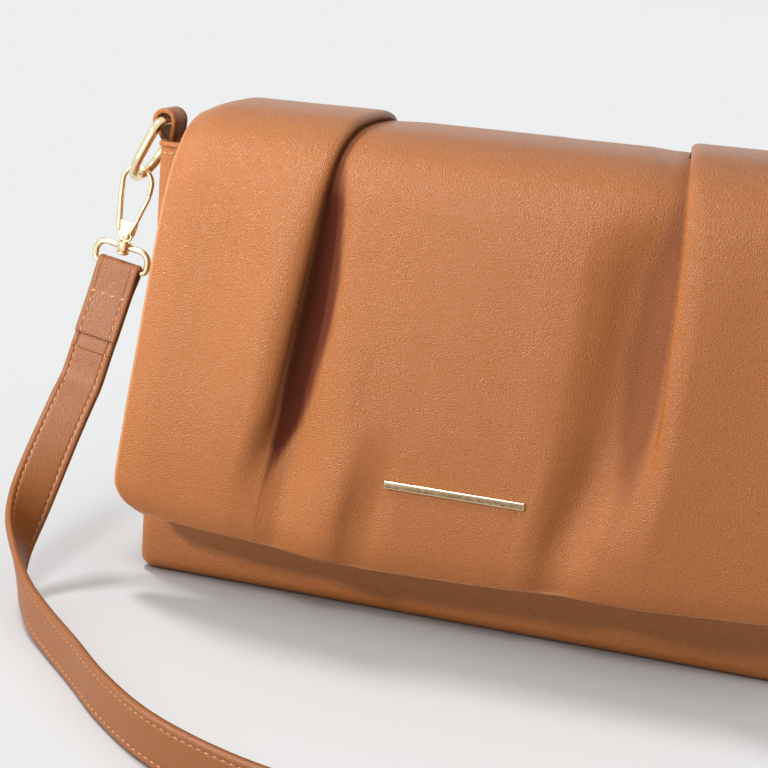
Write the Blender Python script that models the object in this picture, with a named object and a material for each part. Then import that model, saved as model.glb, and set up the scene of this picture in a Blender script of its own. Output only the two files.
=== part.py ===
"""A soft flap bag with a detachable shoulder strap.

X runs along the bag, -Y is the front, +Z is up and the origin is the middle of the base's underside.
The body is a sewn box of panels with a lining. Its padded flap is hinged at the back of the mouth and
folds again at the front. At each end a tab holds a D-ring, a swivel hook hangs in the ring, and the
strap's folded end wraps the hook's loop.
"""

import math

import bmesh
import bpy
from mathutils import Matrix, Vector

# Driving sizes, in metres.
GAP = 0.0003
BODY_WIDTH = 0.270
BODY_HEIGHT = 0.178
BASE_DEPTH = 0.066
MOUTH_DEPTH = 0.056
PANEL = 0.003
GUSSET = 0.002
GUSSET_INSET = 0.0025
BASE = 0.003
BASE_BOARD = 0.002
LINING = 0.0008
FACING = 0.0012
FACING_HEIGHT = 0.016
POCKET_WIDTH = 0.120
POCKET_LOW = 0.060
POCKET_HIGH = 0.140
POCKET = 0.001

FLAP_LEATHER = 0.0025
FLAP_PADDING = 0.006
FLAP_LINING = 0.0012
FLAP_RISE = 0.0135
FLAP_OVERHANG = 0.0125
FLAP_FLARE = 0.0125
FLAP_HEM_HEIGHT = 0.028
FLAP_FRONT_STEPS = 6
# From each end of the body in to the flap's top, clear of the tab and its ring, and out to its hem.
FLAP_TOP_INSET = 0.012
FLAP_HEM_REACH = 0.0055
FLAP_ROOT = 0.0025
FLAP_ROOT_HEIGHT = 0.026
BAR_LENGTH = 0.054
BAR_HEIGHT = 0.003
BAR_THICKNESS = 0.0012
BAR_ABOVE_HEM = 0.034

SNAP_RADIUS = 0.009
SNAP_SOCKET = 0.003
SNAP_ABOVE_HEM = 0.050

TAB_LEATHER = 0.002
TAB_WIDTH = 0.013
TAB_Y = -0.014
TAB_LEG = 0.024
TAB_RING_CLEARANCE = 0.0011
TAB_LOOP_ABOVE_RIM = 0.0068
RING_WIRE = 0.0019
RING_WIDTH = 0.022
RING_HEIGHT = 0.027
RING_CORNER = 0.0045
RING_LEAN = math.radians(27.6)

HOOK_WIRE = 0.00115
HOOK_RADIUS = 0.0063
HOOK_EYE = 0.0165
HOOK_PLATE_HEIGHT = 0.007
HOOK_PLATE_WIDTH = 0.0085
HOOK_PLATE_FRONT = 0.0006
HOOK_PLATE_BACK = 0.0012
HOOK_PLATE_CHAMFER = 0.0015
HOOK_PLATE_CROWN = 0.0006
HOOK_SHANK_IN = 0.0016
HOOK_SHANK_LAP = 0.003
HOOK_NOSE = 0.0035
CLIP_LEAN = math.radians(10.5)
GATE_WIRE = 0.00095
GATE_KNUCKLE = 0.0024
GATE_OFFSET = 0.0019
GATE_KNUCKLE_THICKNESS = 0.0012
GATE_BOW = 0.0030
PIVOT_U = 0.0012
PIVOT_SHARE = 0.64
PIN_RADIUS = 0.00075
PIN_HEAD = 0.0014
PIN_HEAD_THICKNESS = 0.0006
POST_RADIUS = 0.0014
POST_HEAD_RADIUS = 0.0026
POST_HEAD = 0.0014
POST_LAP = 0.0012
BOSS_WALL = 0.0014
BOSS_HEIGHT = 0.0038
LOOP_WIRE = 0.0011
LOOP_WIDTH = 0.0232
LOOP_HEIGHT = 0.009
LOOP_CORNER = 0.0025

STRAP_WIDTH = 0.0185
STRAP_THICKNESS = 0.003
STRAP_END_LENGTH = 0.036
STRAP_END_CORNER = 0.0045
STRAP_END_CORNER_RISE = 0.0018
STRAP_FORWARD = math.radians(18)
STRAP_START_GAP = 0.0009
STRAP_STRAIGHT = 0.012

# The free strap's route along its centre line, in metres, from the left hook to the right one.
STRAP_ROUTE = [
    (-0.1651, -0.0375, 0.0680),
    (-0.1676, -0.0500, 0.0510),
    (-0.1682, -0.0635, 0.0360),
    (-0.1652, -0.0780, 0.0250),
    (-0.1575, -0.0925, 0.0172),
    (-0.1460, -0.1065, 0.0124),
    (-0.1310, -0.1205, 0.0101),
    (-0.1125, -0.1375, 0.0096),
    (-0.0920, -0.1573, 0.0096),
    (-0.0675, -0.1756, 0.0096),
    (-0.0380, -0.1888, 0.0096),
    (-0.0060, -0.1965, 0.0096),
    (0.0340, -0.2020, 0.0096),
    (0.0780, -0.2055, 0.0096),
    (0.1230, -0.2045, 0.0096),
    (0.1680, -0.1960, 0.0096),
    (0.2080, -0.1775, 0.0096),
    (0.2370, -0.1490, 0.0096),
    (0.2500, -0.1160, 0.0098),
    (0.2450, -0.0870, 0.0112),
    (0.2290, -0.0670, 0.0160),
    (0.2090, -0.0555, 0.0260),
    (0.1900, -0.0490, 0.0400),
    (0.1740, -0.0410, 0.0580),
]
# How far along the route, in points from either end, the strap has turned onto its long edge.
STRAP_TURN_POINTS = 8
STRAP_STEPS = 3

RING_SIDES = 12
ROUND_SIDES = 24
ARC_STEPS = 10

LEATHER = (0.490, 0.195, 0.072, 1.0)
LINING_CLOTH = (0.300, 0.150, 0.080, 1.0)
GOLD = (0.900, 0.700, 0.380, 1.0)
BOARD_GREY = (0.350, 0.330, 0.300, 1.0)
FOAM = (0.800, 0.780, 0.720, 1.0)


# Heights and depths that the pieces share.
def half_depth(height):
    """The body's outer half depth at a height: it narrows from the base to the mouth."""
    share = height / BODY_HEIGHT
    return (BASE_DEPTH + (MOUTH_DEPTH - BASE_DEPTH) * share) / 2


GUSSET_FACE = BODY_WIDTH / 2 - GUSSET_INSET
INNER_HALF_WIDTH = GUSSET_FACE - GUSSET
FACING_LOW = BODY_HEIGHT - FACING_HEIGHT
FLAP_TOP_WIDTH = BODY_WIDTH - 2 * FLAP_TOP_INSET
FLAP_HEM_WIDTH = BODY_WIDTH + 2 * FLAP_HEM_REACH

FLAP_STACK = FLAP_LEATHER + FLAP_PADDING + FLAP_LINING + 2 * GAP
FLAP_TOP_Z = BODY_HEIGHT + FLAP_RISE
HINGE_Y = half_depth(BODY_HEIGHT - FLAP_ROOT_HEIGHT) + FLAP_ROOT + 3 * GAP
HINGE_Z = BODY_HEIGHT + 2 * GAP
FOLD_Y = -(half_depth(BODY_HEIGHT) + FLAP_OVERHANG)
FOLD_Z = FLAP_TOP_Z - FLAP_STACK - GAP

RING_TOP_Z = BODY_HEIGHT + TAB_LOOP_ABOVE_RIM
TAB_LOOP_INNER = RING_WIRE + TAB_RING_CLEARANCE
TAB_LOOP_OUTER = TAB_LOOP_INNER + TAB_LEATHER
TAB_X = -(GUSSET_FACE + GAP + 2 * TAB_LEATHER)
RING_AXIS = Vector((TAB_X - GAP, TAB_Y, RING_TOP_Z))
RING_DOWN = Vector((-math.sin(RING_LEAN), 0, -math.cos(RING_LEAN)))
RING_CONTACT = RING_AXIS + RING_DOWN * RING_HEIGHT

# The clip's own frame: u along the loop's bar, v towards the back and w up the hook.
CLIP_U = Vector((math.cos(CLIP_LEAN), 0, -math.sin(CLIP_LEAN)))
CLIP_V = Vector((0, 1, 0))
CLIP_W = Vector((math.sin(CLIP_LEAN), 0, math.cos(CLIP_LEAN)))
HOOK_TOP = RING_WIRE + HOOK_WIRE + GAP
HOOK_CENTRE_W = HOOK_TOP - HOOK_RADIUS
PLATE_TOP_W = HOOK_TOP - HOOK_WIRE - HOOK_EYE - HOOK_RADIUS
PLATE_BOTTOM_W = PLATE_TOP_W - HOOK_PLATE_HEIGHT
PIVOT_W = PLATE_TOP_W - PIVOT_SHARE * HOOK_PLATE_HEIGHT
NOSE_W = HOOK_CENTRE_W - HOOK_NOSE
BOSS_TOP_W = PLATE_BOTTOM_W - GAP
BOSS_BOTTOM_W = BOSS_TOP_W - BOSS_HEIGHT
BAR_W = (BOSS_TOP_W + BOSS_BOTTOM_W) / 2
LOOP_BAR_W = BAR_W - LOOP_HEIGHT
HEAD_TOP_W = BOSS_BOTTOM_W - GAP
PIN_HOLE = PIN_RADIUS + GAP
POST_HOLE = POST_RADIUS + GAP


def clip_point(u, v, w):
    return RING_CONTACT + CLIP_U * u + CLIP_V * v + CLIP_W * w


# The strap's folded end leaves the loop's lower bar forwards and down.
STRAP_DOWN = (-CLIP_W * math.cos(STRAP_FORWARD) - CLIP_V * math.sin(STRAP_FORWARD)).normalized()
STRAP_BAR = clip_point(0, 0, LOOP_BAR_W)


def clear_scene():
    for obj in list(bpy.data.objects):
        bpy.data.objects.remove(obj, do_unlink=True)


def material(name, colour, roughness, metallic=0.0):
    made = bpy.data.materials.new(name)
    made.use_nodes = True
    made.diffuse_color = colour
    shader = made.node_tree.nodes["Principled BSDF"]
    shader.inputs["Base Color"].default_value = colour
    shader.inputs["Roughness"].default_value = roughness
    shader.inputs["Metallic"].default_value = metallic
    return made


def leather(name):
    return material(name + "_leather", LEATHER, 0.5)


def gold(name):
    return material(name + "_gold", GOLD, 0.22, 1.0)


def cloth(name):
    return material(name + "_cloth", LINING_CLOTH, 0.8)


def keep(bm, name, surface, mirrored=False, smooth=False):
    """Makes the object, on the right-hand side if mirrored, with its faces pointing out."""
    if mirrored:
        bmesh.ops.transform(bm, matrix=Matrix.Scale(-1, 4, (1, 0, 0)), verts=bm.verts)
    bmesh.ops.recalc_face_normals(bm, faces=bm.faces)
    mesh = bpy.data.meshes.new(name)
    bm.to_mesh(mesh)
    bm.free()
    obj = bpy.data.objects.new(name, mesh)
    bpy.context.collection.objects.link(obj)
    mesh.materials.append(surface)
    if smooth:
        mesh.shade_smooth()
        mesh.set_sharp_from_angle(angle=math.radians(40))
    return obj


def hull_between(bm, first, second):
    """Closes two outlines with the same number of points into one solid."""
    ends = [[bm.verts.new(point) for point in outline] for outline in (first, second)]
    bm.faces.new(ends[0])
    bm.faces.new(list(reversed(ends[1])))
    count = len(first)
    for i in range(count):
        j = (i + 1) % count
        bm.faces.new((ends[0][i], ends[1][i], ends[1][j], ends[0][j]))


def across(name, outline, half_width, surface):
    """A solid whose (y, z) outline runs along X, from -half_width(z) to half_width(z)."""
    bm = bmesh.new()
    left = [(-half_width(z), y, z) for y, z in outline]
    right = [(half_width(z), y, z) for y, z in outline]
    hull_between(bm, left, right)
    return keep(bm, name, surface)


def prism(bm, outline, low_x, high_x):
    hull_between(bm, [(low_x, y, z) for y, z in outline], [(high_x, y, z) for y, z in outline])


def turned(bm, centre, axis, profile, sides=ROUND_SIDES):
    """A turned solid: profile is a list of (distance along the axis, radius), closed at both ends."""
    turn = axis.to_track_quat("Z", "Y").to_matrix()
    rings = []
    for along, radius in profile:
        ring = []
        for i in range(sides):
            angle = 2 * math.pi * i / sides
            offset = turn @ Vector((radius * math.cos(angle), radius * math.sin(angle), along))
            ring.append(bm.verts.new(centre + offset))
        rings.append(ring)
    bm.faces.new(list(reversed(rings[0])))
    bm.faces.new(rings[-1])
    for low, high in zip(rings, rings[1:]):
        for i in range(sides):
            j = (i + 1) % sides
            bm.faces.new((low[i], low[j], high[j], high[i]))


def tube(bm, centre, axis, inner, outer, low, high, sides=ROUND_SIDES):
    """A ring with a square section round an axis."""
    turn = axis.to_track_quat("Z", "Y").to_matrix()
    loops = []
    for along, radius in ((low, outer), (high, outer), (high, inner), (low, inner)):
        loop = []
        for i in range(sides):
            angle = 2 * math.pi * i / sides
            offset = turn @ Vector((radius * math.cos(angle), radius * math.sin(angle), along))
            loop.append(bm.verts.new(centre + offset))
        loops.append(loop)
    for k in range(4):
        one, two = loops[k], loops[(k + 1) % 4]
        for i in range(sides):
            j = (i + 1) % sides
            bm.faces.new((one[i], one[j], two[j], two[i]))


def wire(bm, points, radius, normal, closed=False, sides=RING_SIDES):
    """A round wire through the points. Its section is set square to the wire at every point."""
    count = len(points)
    rings = []
    for i, point in enumerate(points):
        before = points[i - 1] if closed or i else point
        after = points[(i + 1) % count] if closed or i < count - 1 else point
        along = (after - before).normalized()
        side = normal.cross(along).normalized()
        up = along.cross(side).normalized()
        ring = []
        for k in range(sides):
            angle = 2 * math.pi * k / sides
            ring.append(bm.verts.new(point + (side * math.cos(angle) + up * math.sin(angle)) * radius))
        rings.append(ring)
    pairs = list(zip(rings, rings[1:]))
    if closed:
        pairs.append((rings[-1], rings[0]))
    else:
        bm.faces.new(list(reversed(rings[0])))
        bm.faces.new(rings[-1])
    for low, high in pairs:
        for k in range(sides):
            m = (k + 1) % sides
            bm.faces.new((low[k], low[m], high[m], high[k]))


def arc(centre, radius, start, end, steps=ARC_STEPS):
    """Points on an arc in a plane, as (across, up), with its angles in degrees."""
    angles = [math.radians(start + (end - start) * i / steps) for i in range(steps + 1)]
    return [(centre[0] + radius * math.cos(a), centre[1] + radius * math.sin(a)) for a in angles]


def joined(base, others, operation="UNION"):
    """Joins the other objects into the base, or cuts them from it, and removes them."""
    for other in others:
        modifier = base.modifiers.new(operation.lower(), "BOOLEAN")
        modifier.operation = operation
        modifier.object = other
    bpy.context.view_layer.update()
    graph = bpy.context.evaluated_depsgraph_get()
    mesh = bpy.data.meshes.new_from_object(base.evaluated_get(graph))
    base.modifiers.clear()
    base.data = mesh
    for other in others:
        bpy.data.objects.remove(other, do_unlink=True)
    return base


def axis_empty(name, place):
    empty = bpy.data.objects.new(name, None)
    empty.location = place
    empty.empty_display_size = 0.01
    bpy.context.collection.objects.link(empty)
    bpy.context.view_layer.update()
    return empty


def hang_on(empty, pieces):
    """Parents pieces to the empty on their joint's axis, and leaves them where they are."""
    for piece in pieces:
        piece.parent = empty
        piece.matrix_parent_inverse = empty.matrix_world.inverted()


# The body.
def panel_outline(side, low, high, start, thickness):
    """A wall that leans with the body: start is how far inside the outer face it begins."""
    outer_low = side * (half_depth(low) - start)
    outer_high = side * (half_depth(high) - start)
    inner_low = outer_low - side * thickness
    inner_high = outer_high - side * thickness
    return [(outer_low, low), (outer_high, high), (inner_high, high), (inner_low, low)]


def make_panels():
    for name, side in (("front_panel", -1), ("back_panel", 1)):
        outline = panel_outline(side, 0, BODY_HEIGHT, 0, PANEL)
        across(name, outline, lambda z: BODY_WIDTH / 2, leather(name))


def trapezoid(low, high, inset):
    """The body's cross-section between two heights, set in from its outer faces."""
    return [
        (-(half_depth(low) - inset), low),
        (-(half_depth(high) - inset), high),
        (half_depth(high) - inset, high),
        (half_depth(low) - inset, low),
    ]


def make_base():
    outline = trapezoid(0, BASE, PANEL + GAP)
    across("base_panel", outline, lambda z: BODY_WIDTH / 2, leather("base_panel"))
    low = BASE + GAP
    outline = trapezoid(low, low + BASE_BOARD, PANEL + 2 * GAP)
    board = material("base_board_card", BOARD_GREY, 0.9)
    across("base_board", outline, lambda z: INNER_HALF_WIDTH - GAP, board)


def make_gussets():
    outline = trapezoid(BASE + GAP, BODY_HEIGHT, PANEL + GAP)
    for name, mirrored in (("left_gusset", False), ("right_gusset", True)):
        bm = bmesh.new()
        prism(bm, outline, -GUSSET_FACE, -INNER_HALF_WIDTH)
        keep(bm, name, leather(name), mirrored)


def open_box(name, low, floor, high, inset, half_width, wall, surface):
    """A box open at the top, or at both ends if its floor is nothing."""
    outer = across(name, trapezoid(low, high, inset), lambda z: half_width, surface)
    cut_low = low + floor if floor else low - wall
    cut = across("cut", trapezoid(cut_low, high + wall, inset + wall), lambda z: half_width - wall, surface)
    return joined(outer, [cut], "DIFFERENCE")


def make_lining():
    low = BASE + BASE_BOARD + 2 * GAP
    inset = PANEL + 2 * GAP
    half_width = INNER_HALF_WIDTH - GAP
    open_box("lining", low, LINING, FACING_LOW - GAP, inset, half_width, LINING, cloth("lining"))
    open_box("mouth_facing", FACING_LOW, 0, BODY_HEIGHT, inset, half_width, FACING, leather("mouth_facing"))
    pocket_inset = inset + LINING + GAP
    outline = panel_outline(1, POCKET_LOW, POCKET_HIGH, pocket_inset, POCKET)
    across("slip_pocket", outline, lambda z: POCKET_WIDTH / 2, cloth("slip_pocket"))


# The flap, as layers from the leather inwards.
FLAP_LAYERS = [
    ("leather", 0.0, FLAP_LEATHER),
    ("padding", FLAP_LEATHER + GAP, FLAP_PADDING),
    ("lining", FLAP_LEATHER + FLAP_PADDING + 2 * GAP, FLAP_LINING),
]


def flap_half_width(height):
    share = (FOLD_Z - height) / (FOLD_Z - FLAP_HEM_HEIGHT)
    share = min(max(share, 0), 1)
    return (FLAP_TOP_WIDTH + (FLAP_HEM_WIDTH - FLAP_TOP_WIDTH) * share) / 2


def flap_front_face(height):
    """The flap's outer front face: it leans out towards the hem."""
    share = (FOLD_Z - height) / (FOLD_Z - FLAP_HEM_HEIGHT)
    return FOLD_Y - FLAP_FLARE * math.sin(share * math.pi / 2)


def flap_surface(layer):
    return {
        "leather": leather("flap"),
        "padding": material("flap_foam", FOAM, 0.9),
        "lining": cloth("flap"),
    }[layer]


def top_path(inwards):
    """The flap's arch over the mouth, from the back hinge to the front fold, at a depth inwards."""
    back = HINGE_Y - 2 * GAP - inwards
    front = FOLD_Y + 2 * GAP
    high = FLAP_TOP_Z - inwards
    rise = high - HINGE_Z
    corner = min(0.5 * rise, 0.25 * (back - front))
    corner = max(corner, GAP)
    path = [(back, HINGE_Z), (back, high - corner)]
    path += [(y, z) for y, z in arc((back - corner, high - corner), corner, 18, 90, 4)]
    path.append((front, high))
    return path


def make_flap():
    tops, fronts = [], []
    for layer, start, thickness in FLAP_LAYERS:
        outer = top_path(start)
        inner = top_path(start + thickness)
        outline = outer + list(reversed(inner))
        tops.append(across("flap_top_" + layer, outline, flap_half_width, flap_surface(layer)))
        top = FOLD_Z - 2 * GAP
        drop = (top - FLAP_HEM_HEIGHT) / FLAP_FRONT_STEPS
        heights = [top - drop * i for i in range(FLAP_FRONT_STEPS + 1)]
        outer = [(flap_front_face(z) + start, z) for z in heights]
        inner = [(y + thickness, z) for y, z in outer]
        outline = outer + list(reversed(inner))
        fronts.append(across("flap_front_" + layer, outline, flap_half_width, flap_surface(layer)))
    return tops, fronts


def make_flap_root():
    high = BODY_HEIGHT - GAP
    outline = panel_outline(1, BODY_HEIGHT - FLAP_ROOT_HEIGHT, high, -GAP - FLAP_ROOT, FLAP_ROOT)
    across("flap_root", outline, lambda z: FLAP_TOP_WIDTH / 2, leather("flap_root"))


def face_normal(face, height):
    """The outward direction of a front face at a height, from its y at two heights."""
    step = 0.001
    slope = (face(height + step) - face(height - step)) / (2 * step)
    return Vector((0, -1, slope)).normalized()


def make_front_bar():
    height = FLAP_HEM_HEIGHT + BAR_ABOVE_HEM
    normal = face_normal(flap_front_face, height)
    up = normal.cross(Vector((1, 0, 0)))
    middle = Vector((0, flap_front_face(height), height)) + normal * (GAP + BAR_THICKNESS / 2)
    bm = bmesh.new()
    corners = [(-1, -1), (1, -1), (1, 1), (-1, 1)]
    faces = []
    for end in (-1, 1):
        along = Vector((end * BAR_LENGTH / 2, 0, 0))
        faces.append([
            middle + along + normal * (a * BAR_THICKNESS / 2) + up * (b * BAR_HEIGHT / 2)
            for a, b in corners
        ])
    hull_between(bm, faces[0], faces[1])
    return keep(bm, "front_bar", gold("front_bar"))


def make_snap():
    """A magnetic snap: its two discs face each other between the front panel and the flap."""
    height = FLAP_HEM_HEIGHT + SNAP_ABOVE_HEM
    panel_normal = face_normal(lambda z: -half_depth(z), height)
    flap_normal = face_normal(flap_front_face, height)
    tilt = panel_normal.angle(flap_normal)
    socket_back = Vector((0, -half_depth(height), height)) + panel_normal * GAP
    bm = bmesh.new()
    turned(bm, socket_back, panel_normal, [(0, SNAP_RADIUS), (SNAP_SOCKET, SNAP_RADIUS)])
    keep(bm, "snap_socket", gold("snap_socket"), smooth=True)
    flap_inside = flap_front_face(height) + FLAP_STACK
    room = -half_depth(height) - flap_inside
    stud = room - SNAP_SOCKET - 3 * GAP - 2 * SNAP_RADIUS * math.tan(tilt)
    stud_back = Vector((0, flap_inside, height)) - flap_normal * GAP
    bm = bmesh.new()
    turned(bm, stud_back, -flap_normal, [(0, SNAP_RADIUS), (stud, SNAP_RADIUS)])
    return keep(bm, "snap_stud", gold("snap_stud"), smooth=True)


# The fittings at one end, drawn for the left and mirrored for the right.
def make_tab(side, mirrored):
    centre = Vector((TAB_X, TAB_Y, RING_TOP_Z))
    bm = bmesh.new()
    half = TAB_WIDTH / 2
    tube(bm, centre, Vector((0, 1, 0)), TAB_LOOP_INNER, TAB_LOOP_OUTER, -half, half)
    name = side + "_tab"
    loop = keep(bm, name, leather(name), mirrored)
    bm = bmesh.new()
    inner_x = -(GUSSET_FACE + GAP)
    outer_x = inner_x - 2 * TAB_LEATHER
    top = RING_TOP_Z - TAB_LOOP_INNER - TAB_LEATHER / 4
    outline = [
        (TAB_Y - half, top - TAB_LEG), (TAB_Y - half, top),
        (TAB_Y + half, top), (TAB_Y + half, top - TAB_LEG),
    ]
    prism(bm, outline, outer_x, inner_x)
    leg = keep(bm, "leg", leather(name), mirrored)
    return joined(loop, [leg])


def make_ring(side, mirrored):
    """A D-ring: straight inside its tab and round below."""
    half = RING_WIDTH / 2
    corner = RING_CORNER
    outline = arc((half - corner, -corner), corner, 90, 0, 4)
    outline += arc((0, -(RING_HEIGHT - half)), half, 0, -180, 2 * ARC_STEPS)
    outline += arc((-(half - corner), -corner), corner, 180, 90, 4)
    along = Vector((0, 1, 0))
    points = [RING_AXIS + along * across_ring - RING_DOWN * up for across_ring, up in outline]
    bm = bmesh.new()
    wire(bm, points, RING_WIRE, along.cross(RING_DOWN).normalized(), closed=True)
    name = side + "_ring"
    return keep(bm, name, gold(name), mirrored, smooth=True)


def pin_hole(side, mirrored):
    """A cutter along the gate's pivot, through the plate and the knuckle."""
    reach = 2 * (GATE_OFFSET + GATE_WIRE)
    bm = bmesh.new()
    turned(bm, clip_point(PIVOT_U, -reach, PIVOT_W), CLIP_V, [(0, PIN_HOLE), (2 * reach, PIN_HOLE)])
    return keep(bm, "hole", gold(side + "_hole"), mirrored)


def plane_wire(outline):
    return [clip_point(u, 0, w) for u, w in outline]


def make_hook(side, mirrored):
    name = side + "_hook"
    surface = gold(name)
    chamfer = HOOK_PLATE_CHAMFER
    plate_left = PIVOT_U - 0.68 * HOOK_PLATE_WIDTH
    plate_right = plate_left + HOOK_PLATE_WIDTH
    outline = [
        (plate_left + HOOK_SHANK_IN, PLATE_TOP_W - HOOK_SHANK_LAP),
        (plate_left + HOOK_SHANK_IN / 2, PLATE_TOP_W + HOOK_SHANK_LAP / 3),
        (-HOOK_RADIUS, HOOK_CENTRE_W - 0.45 * HOOK_EYE),
    ]
    outline += arc((0, HOOK_CENTRE_W), HOOK_RADIUS, 180, 0, 2 * ARC_STEPS)
    outline.append((HOOK_RADIUS, NOSE_W))
    bm = bmesh.new()
    wire(bm, plane_wire(outline), HOOK_WIRE, CLIP_V)
    frame = keep(bm, name, surface, mirrored)
    bm = bmesh.new()
    crown = PLATE_TOP_W + HOOK_PLATE_CROWN
    corners = [
        (plate_left, PLATE_TOP_W), (plate_left + chamfer, crown),
        (plate_right - chamfer, crown), (plate_right, PLATE_TOP_W),
        (plate_right, PLATE_BOTTOM_W + chamfer), (plate_right - chamfer, PLATE_BOTTOM_W),
        (plate_left + chamfer, PLATE_BOTTOM_W), (plate_left, PLATE_BOTTOM_W + chamfer),
    ]
    front = [clip_point(u, -HOOK_PLATE_FRONT, w) for u, w in corners]
    back = [clip_point(u, HOOK_PLATE_BACK, w) for u, w in corners]
    hull_between(bm, front, back)
    plate = keep(bm, "plate", surface, mirrored)
    bm = bmesh.new()
    neck = PLATE_BOTTOM_W - HEAD_TOP_W
    turned(bm, clip_point(0, 0, PLATE_BOTTOM_W), -CLIP_W, [
        (-POST_LAP, POST_RADIUS * 0.8), (0, POST_RADIUS), (neck, POST_RADIUS),
        (neck, POST_HEAD_RADIUS), (neck + POST_HEAD, POST_HEAD_RADIUS * 0.85),
    ])
    post = keep(bm, "post", surface, mirrored)
    joined(frame, [plate, post])
    joined(frame, [pin_hole(side, mirrored)], "DIFFERENCE")
    return frame


def make_gate(side, mirrored):
    """The sprung gate: a lever from the rivet up to the hook's tip, in front of the plate below."""
    name = side + "_gate"
    surface = gold(name)
    tip_w = NOSE_W - 2 * GAP
    rise = tip_w - PIVOT_W
    points = [
        clip_point(PIVOT_U, -GATE_OFFSET, PIVOT_W + GATE_KNUCKLE / 3),
        clip_point(PIVOT_U + 0.75 * GATE_BOW, -GATE_OFFSET, PIVOT_W + 0.25 * rise),
        clip_point(PIVOT_U + GATE_BOW, -0.9 * GATE_OFFSET, PIVOT_W + 0.38 * rise),
        clip_point(HOOK_RADIUS - GATE_WIRE, -0.2 * GATE_OFFSET, PIVOT_W + 0.72 * rise),
        clip_point(HOOK_RADIUS - GATE_WIRE / 2, 0, PIVOT_W + 0.88 * rise),
        clip_point(HOOK_RADIUS, 0, tip_w),
    ]
    bm = bmesh.new()
    wire(bm, points, GATE_WIRE, CLIP_V)
    lever = keep(bm, name, surface, mirrored)
    bm = bmesh.new()
    front = -GATE_OFFSET - GATE_KNUCKLE_THICKNESS / 2
    turned(bm, clip_point(PIVOT_U, front, PIVOT_W), CLIP_V, [
        (0, GATE_KNUCKLE), (GATE_KNUCKLE_THICKNESS, GATE_KNUCKLE),
    ])
    knuckle = keep(bm, "knuckle", surface, mirrored)
    joined(lever, [knuckle])
    joined(lever, [pin_hole(side, mirrored)], "DIFFERENCE")
    return lever


def make_gate_pin(side, mirrored):
    """The rivet: a shaft with a head at the gate's front and one behind the plate."""
    name = side + "_gate_pin"
    front = -GATE_OFFSET - GATE_WIRE - GAP
    back = HOOK_PLATE_BACK + GAP
    bm = bmesh.new()
    turned(bm, clip_point(PIVOT_U, 0, PIVOT_W), CLIP_V, [
        (front - PIN_HEAD_THICKNESS, PIN_HEAD * 0.7), (front - PIN_HEAD_THICKNESS / 2, PIN_HEAD),
        (front, PIN_HEAD), (front, PIN_RADIUS), (back, PIN_RADIUS), (back, PIN_HEAD),
        (back + PIN_HEAD_THICKNESS, PIN_HEAD),
    ], sides=16)
    return keep(bm, name, gold(name), mirrored, smooth=True)


def make_loop(side, mirrored):
    """The strap's loop: a rounded rectangle of wire with a boss that the hook's post turns in."""
    name = side + "_loop"
    surface = gold(name)
    half = LOOP_WIDTH / 2
    corner = LOOP_CORNER
    top, bottom = BAR_W, LOOP_BAR_W
    outline = arc((half - corner, top - corner), corner, 90, 0, 4)
    outline += arc((half - corner, bottom + corner), corner, 0, -90, 4)
    outline += arc((-(half - corner), bottom + corner), corner, -90, -180, 4)
    outline += arc((-(half - corner), top - corner), corner, 180, 90, 4)
    bm = bmesh.new()
    wire(bm, plane_wire(outline), LOOP_WIRE, CLIP_V, closed=True)
    loop = keep(bm, name, surface, mirrored)
    bm = bmesh.new()
    turned(bm, clip_point(0, 0, BOSS_BOTTOM_W), CLIP_W, [
        (0, POST_HOLE + BOSS_WALL), (BOSS_HEIGHT, POST_HOLE + BOSS_WALL),
    ])
    boss = keep(bm, "boss", surface, mirrored)
    bm = bmesh.new()
    turned(bm, clip_point(0, 0, BOSS_BOTTOM_W), CLIP_W, [
        (-BOSS_WALL, POST_HOLE), (BOSS_HEIGHT + BOSS_WALL, POST_HOLE),
    ])
    hole = keep(bm, "hole", surface, mirrored)
    joined(loop, [boss])
    joined(loop, [hole], "DIFFERENCE")
    return loop


def make_strap_end(side, mirrored):
    """The strap's end, folded round the loop's lower bar and sewn flat below it."""
    name = side + "_strap_end"
    surface = leather(name)
    bm = bmesh.new()
    inner = LOOP_WIRE + GAP
    outer = inner + STRAP_THICKNESS / 2
    half = STRAP_WIDTH / 2
    tube(bm, STRAP_BAR, CLIP_U, inner, outer, -half, half)
    fold = keep(bm, name, surface, mirrored)
    start = inner + STRAP_THICKNESS / 8
    shoulder = STRAP_END_LENGTH - STRAP_END_CORNER_RISE
    middle = half - STRAP_END_CORNER
    outline = [
        (-half, start), (half, start), (half, shoulder), (middle, STRAP_END_LENGTH),
        (-middle, STRAP_END_LENGTH), (-half, shoulder),
    ]
    flat_points = [STRAP_BAR + CLIP_U * u + STRAP_DOWN * down for u, down in outline]
    offset = CLIP_U.cross(STRAP_DOWN).normalized() * (STRAP_THICKNESS / 2)
    bm = bmesh.new()
    hull_between(bm, [point - offset for point in flat_points], [point + offset for point in flat_points])
    flat = keep(bm, "flat", surface, mirrored)
    return joined(fold, [flat])


# The free strap.
def smooth_route(points, steps):
    """Points on a smooth curve through the route's own points."""
    padded = [2 * points[0] - points[1]] + points + [2 * points[-1] - points[-2]]
    route = []
    for i in range(1, len(padded) - 2):
        a, b, c, d = padded[i - 1: i + 3]
        for k in range(steps):
            t = k / steps
            route.append(0.5 * (
                2 * b + (c - a) * t + (2 * a - 5 * b + 4 * c - d) * t ** 2
                + (3 * b - a - 3 * c + d) * t ** 3
            ))
    route.append(points[-1])
    return route


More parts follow.
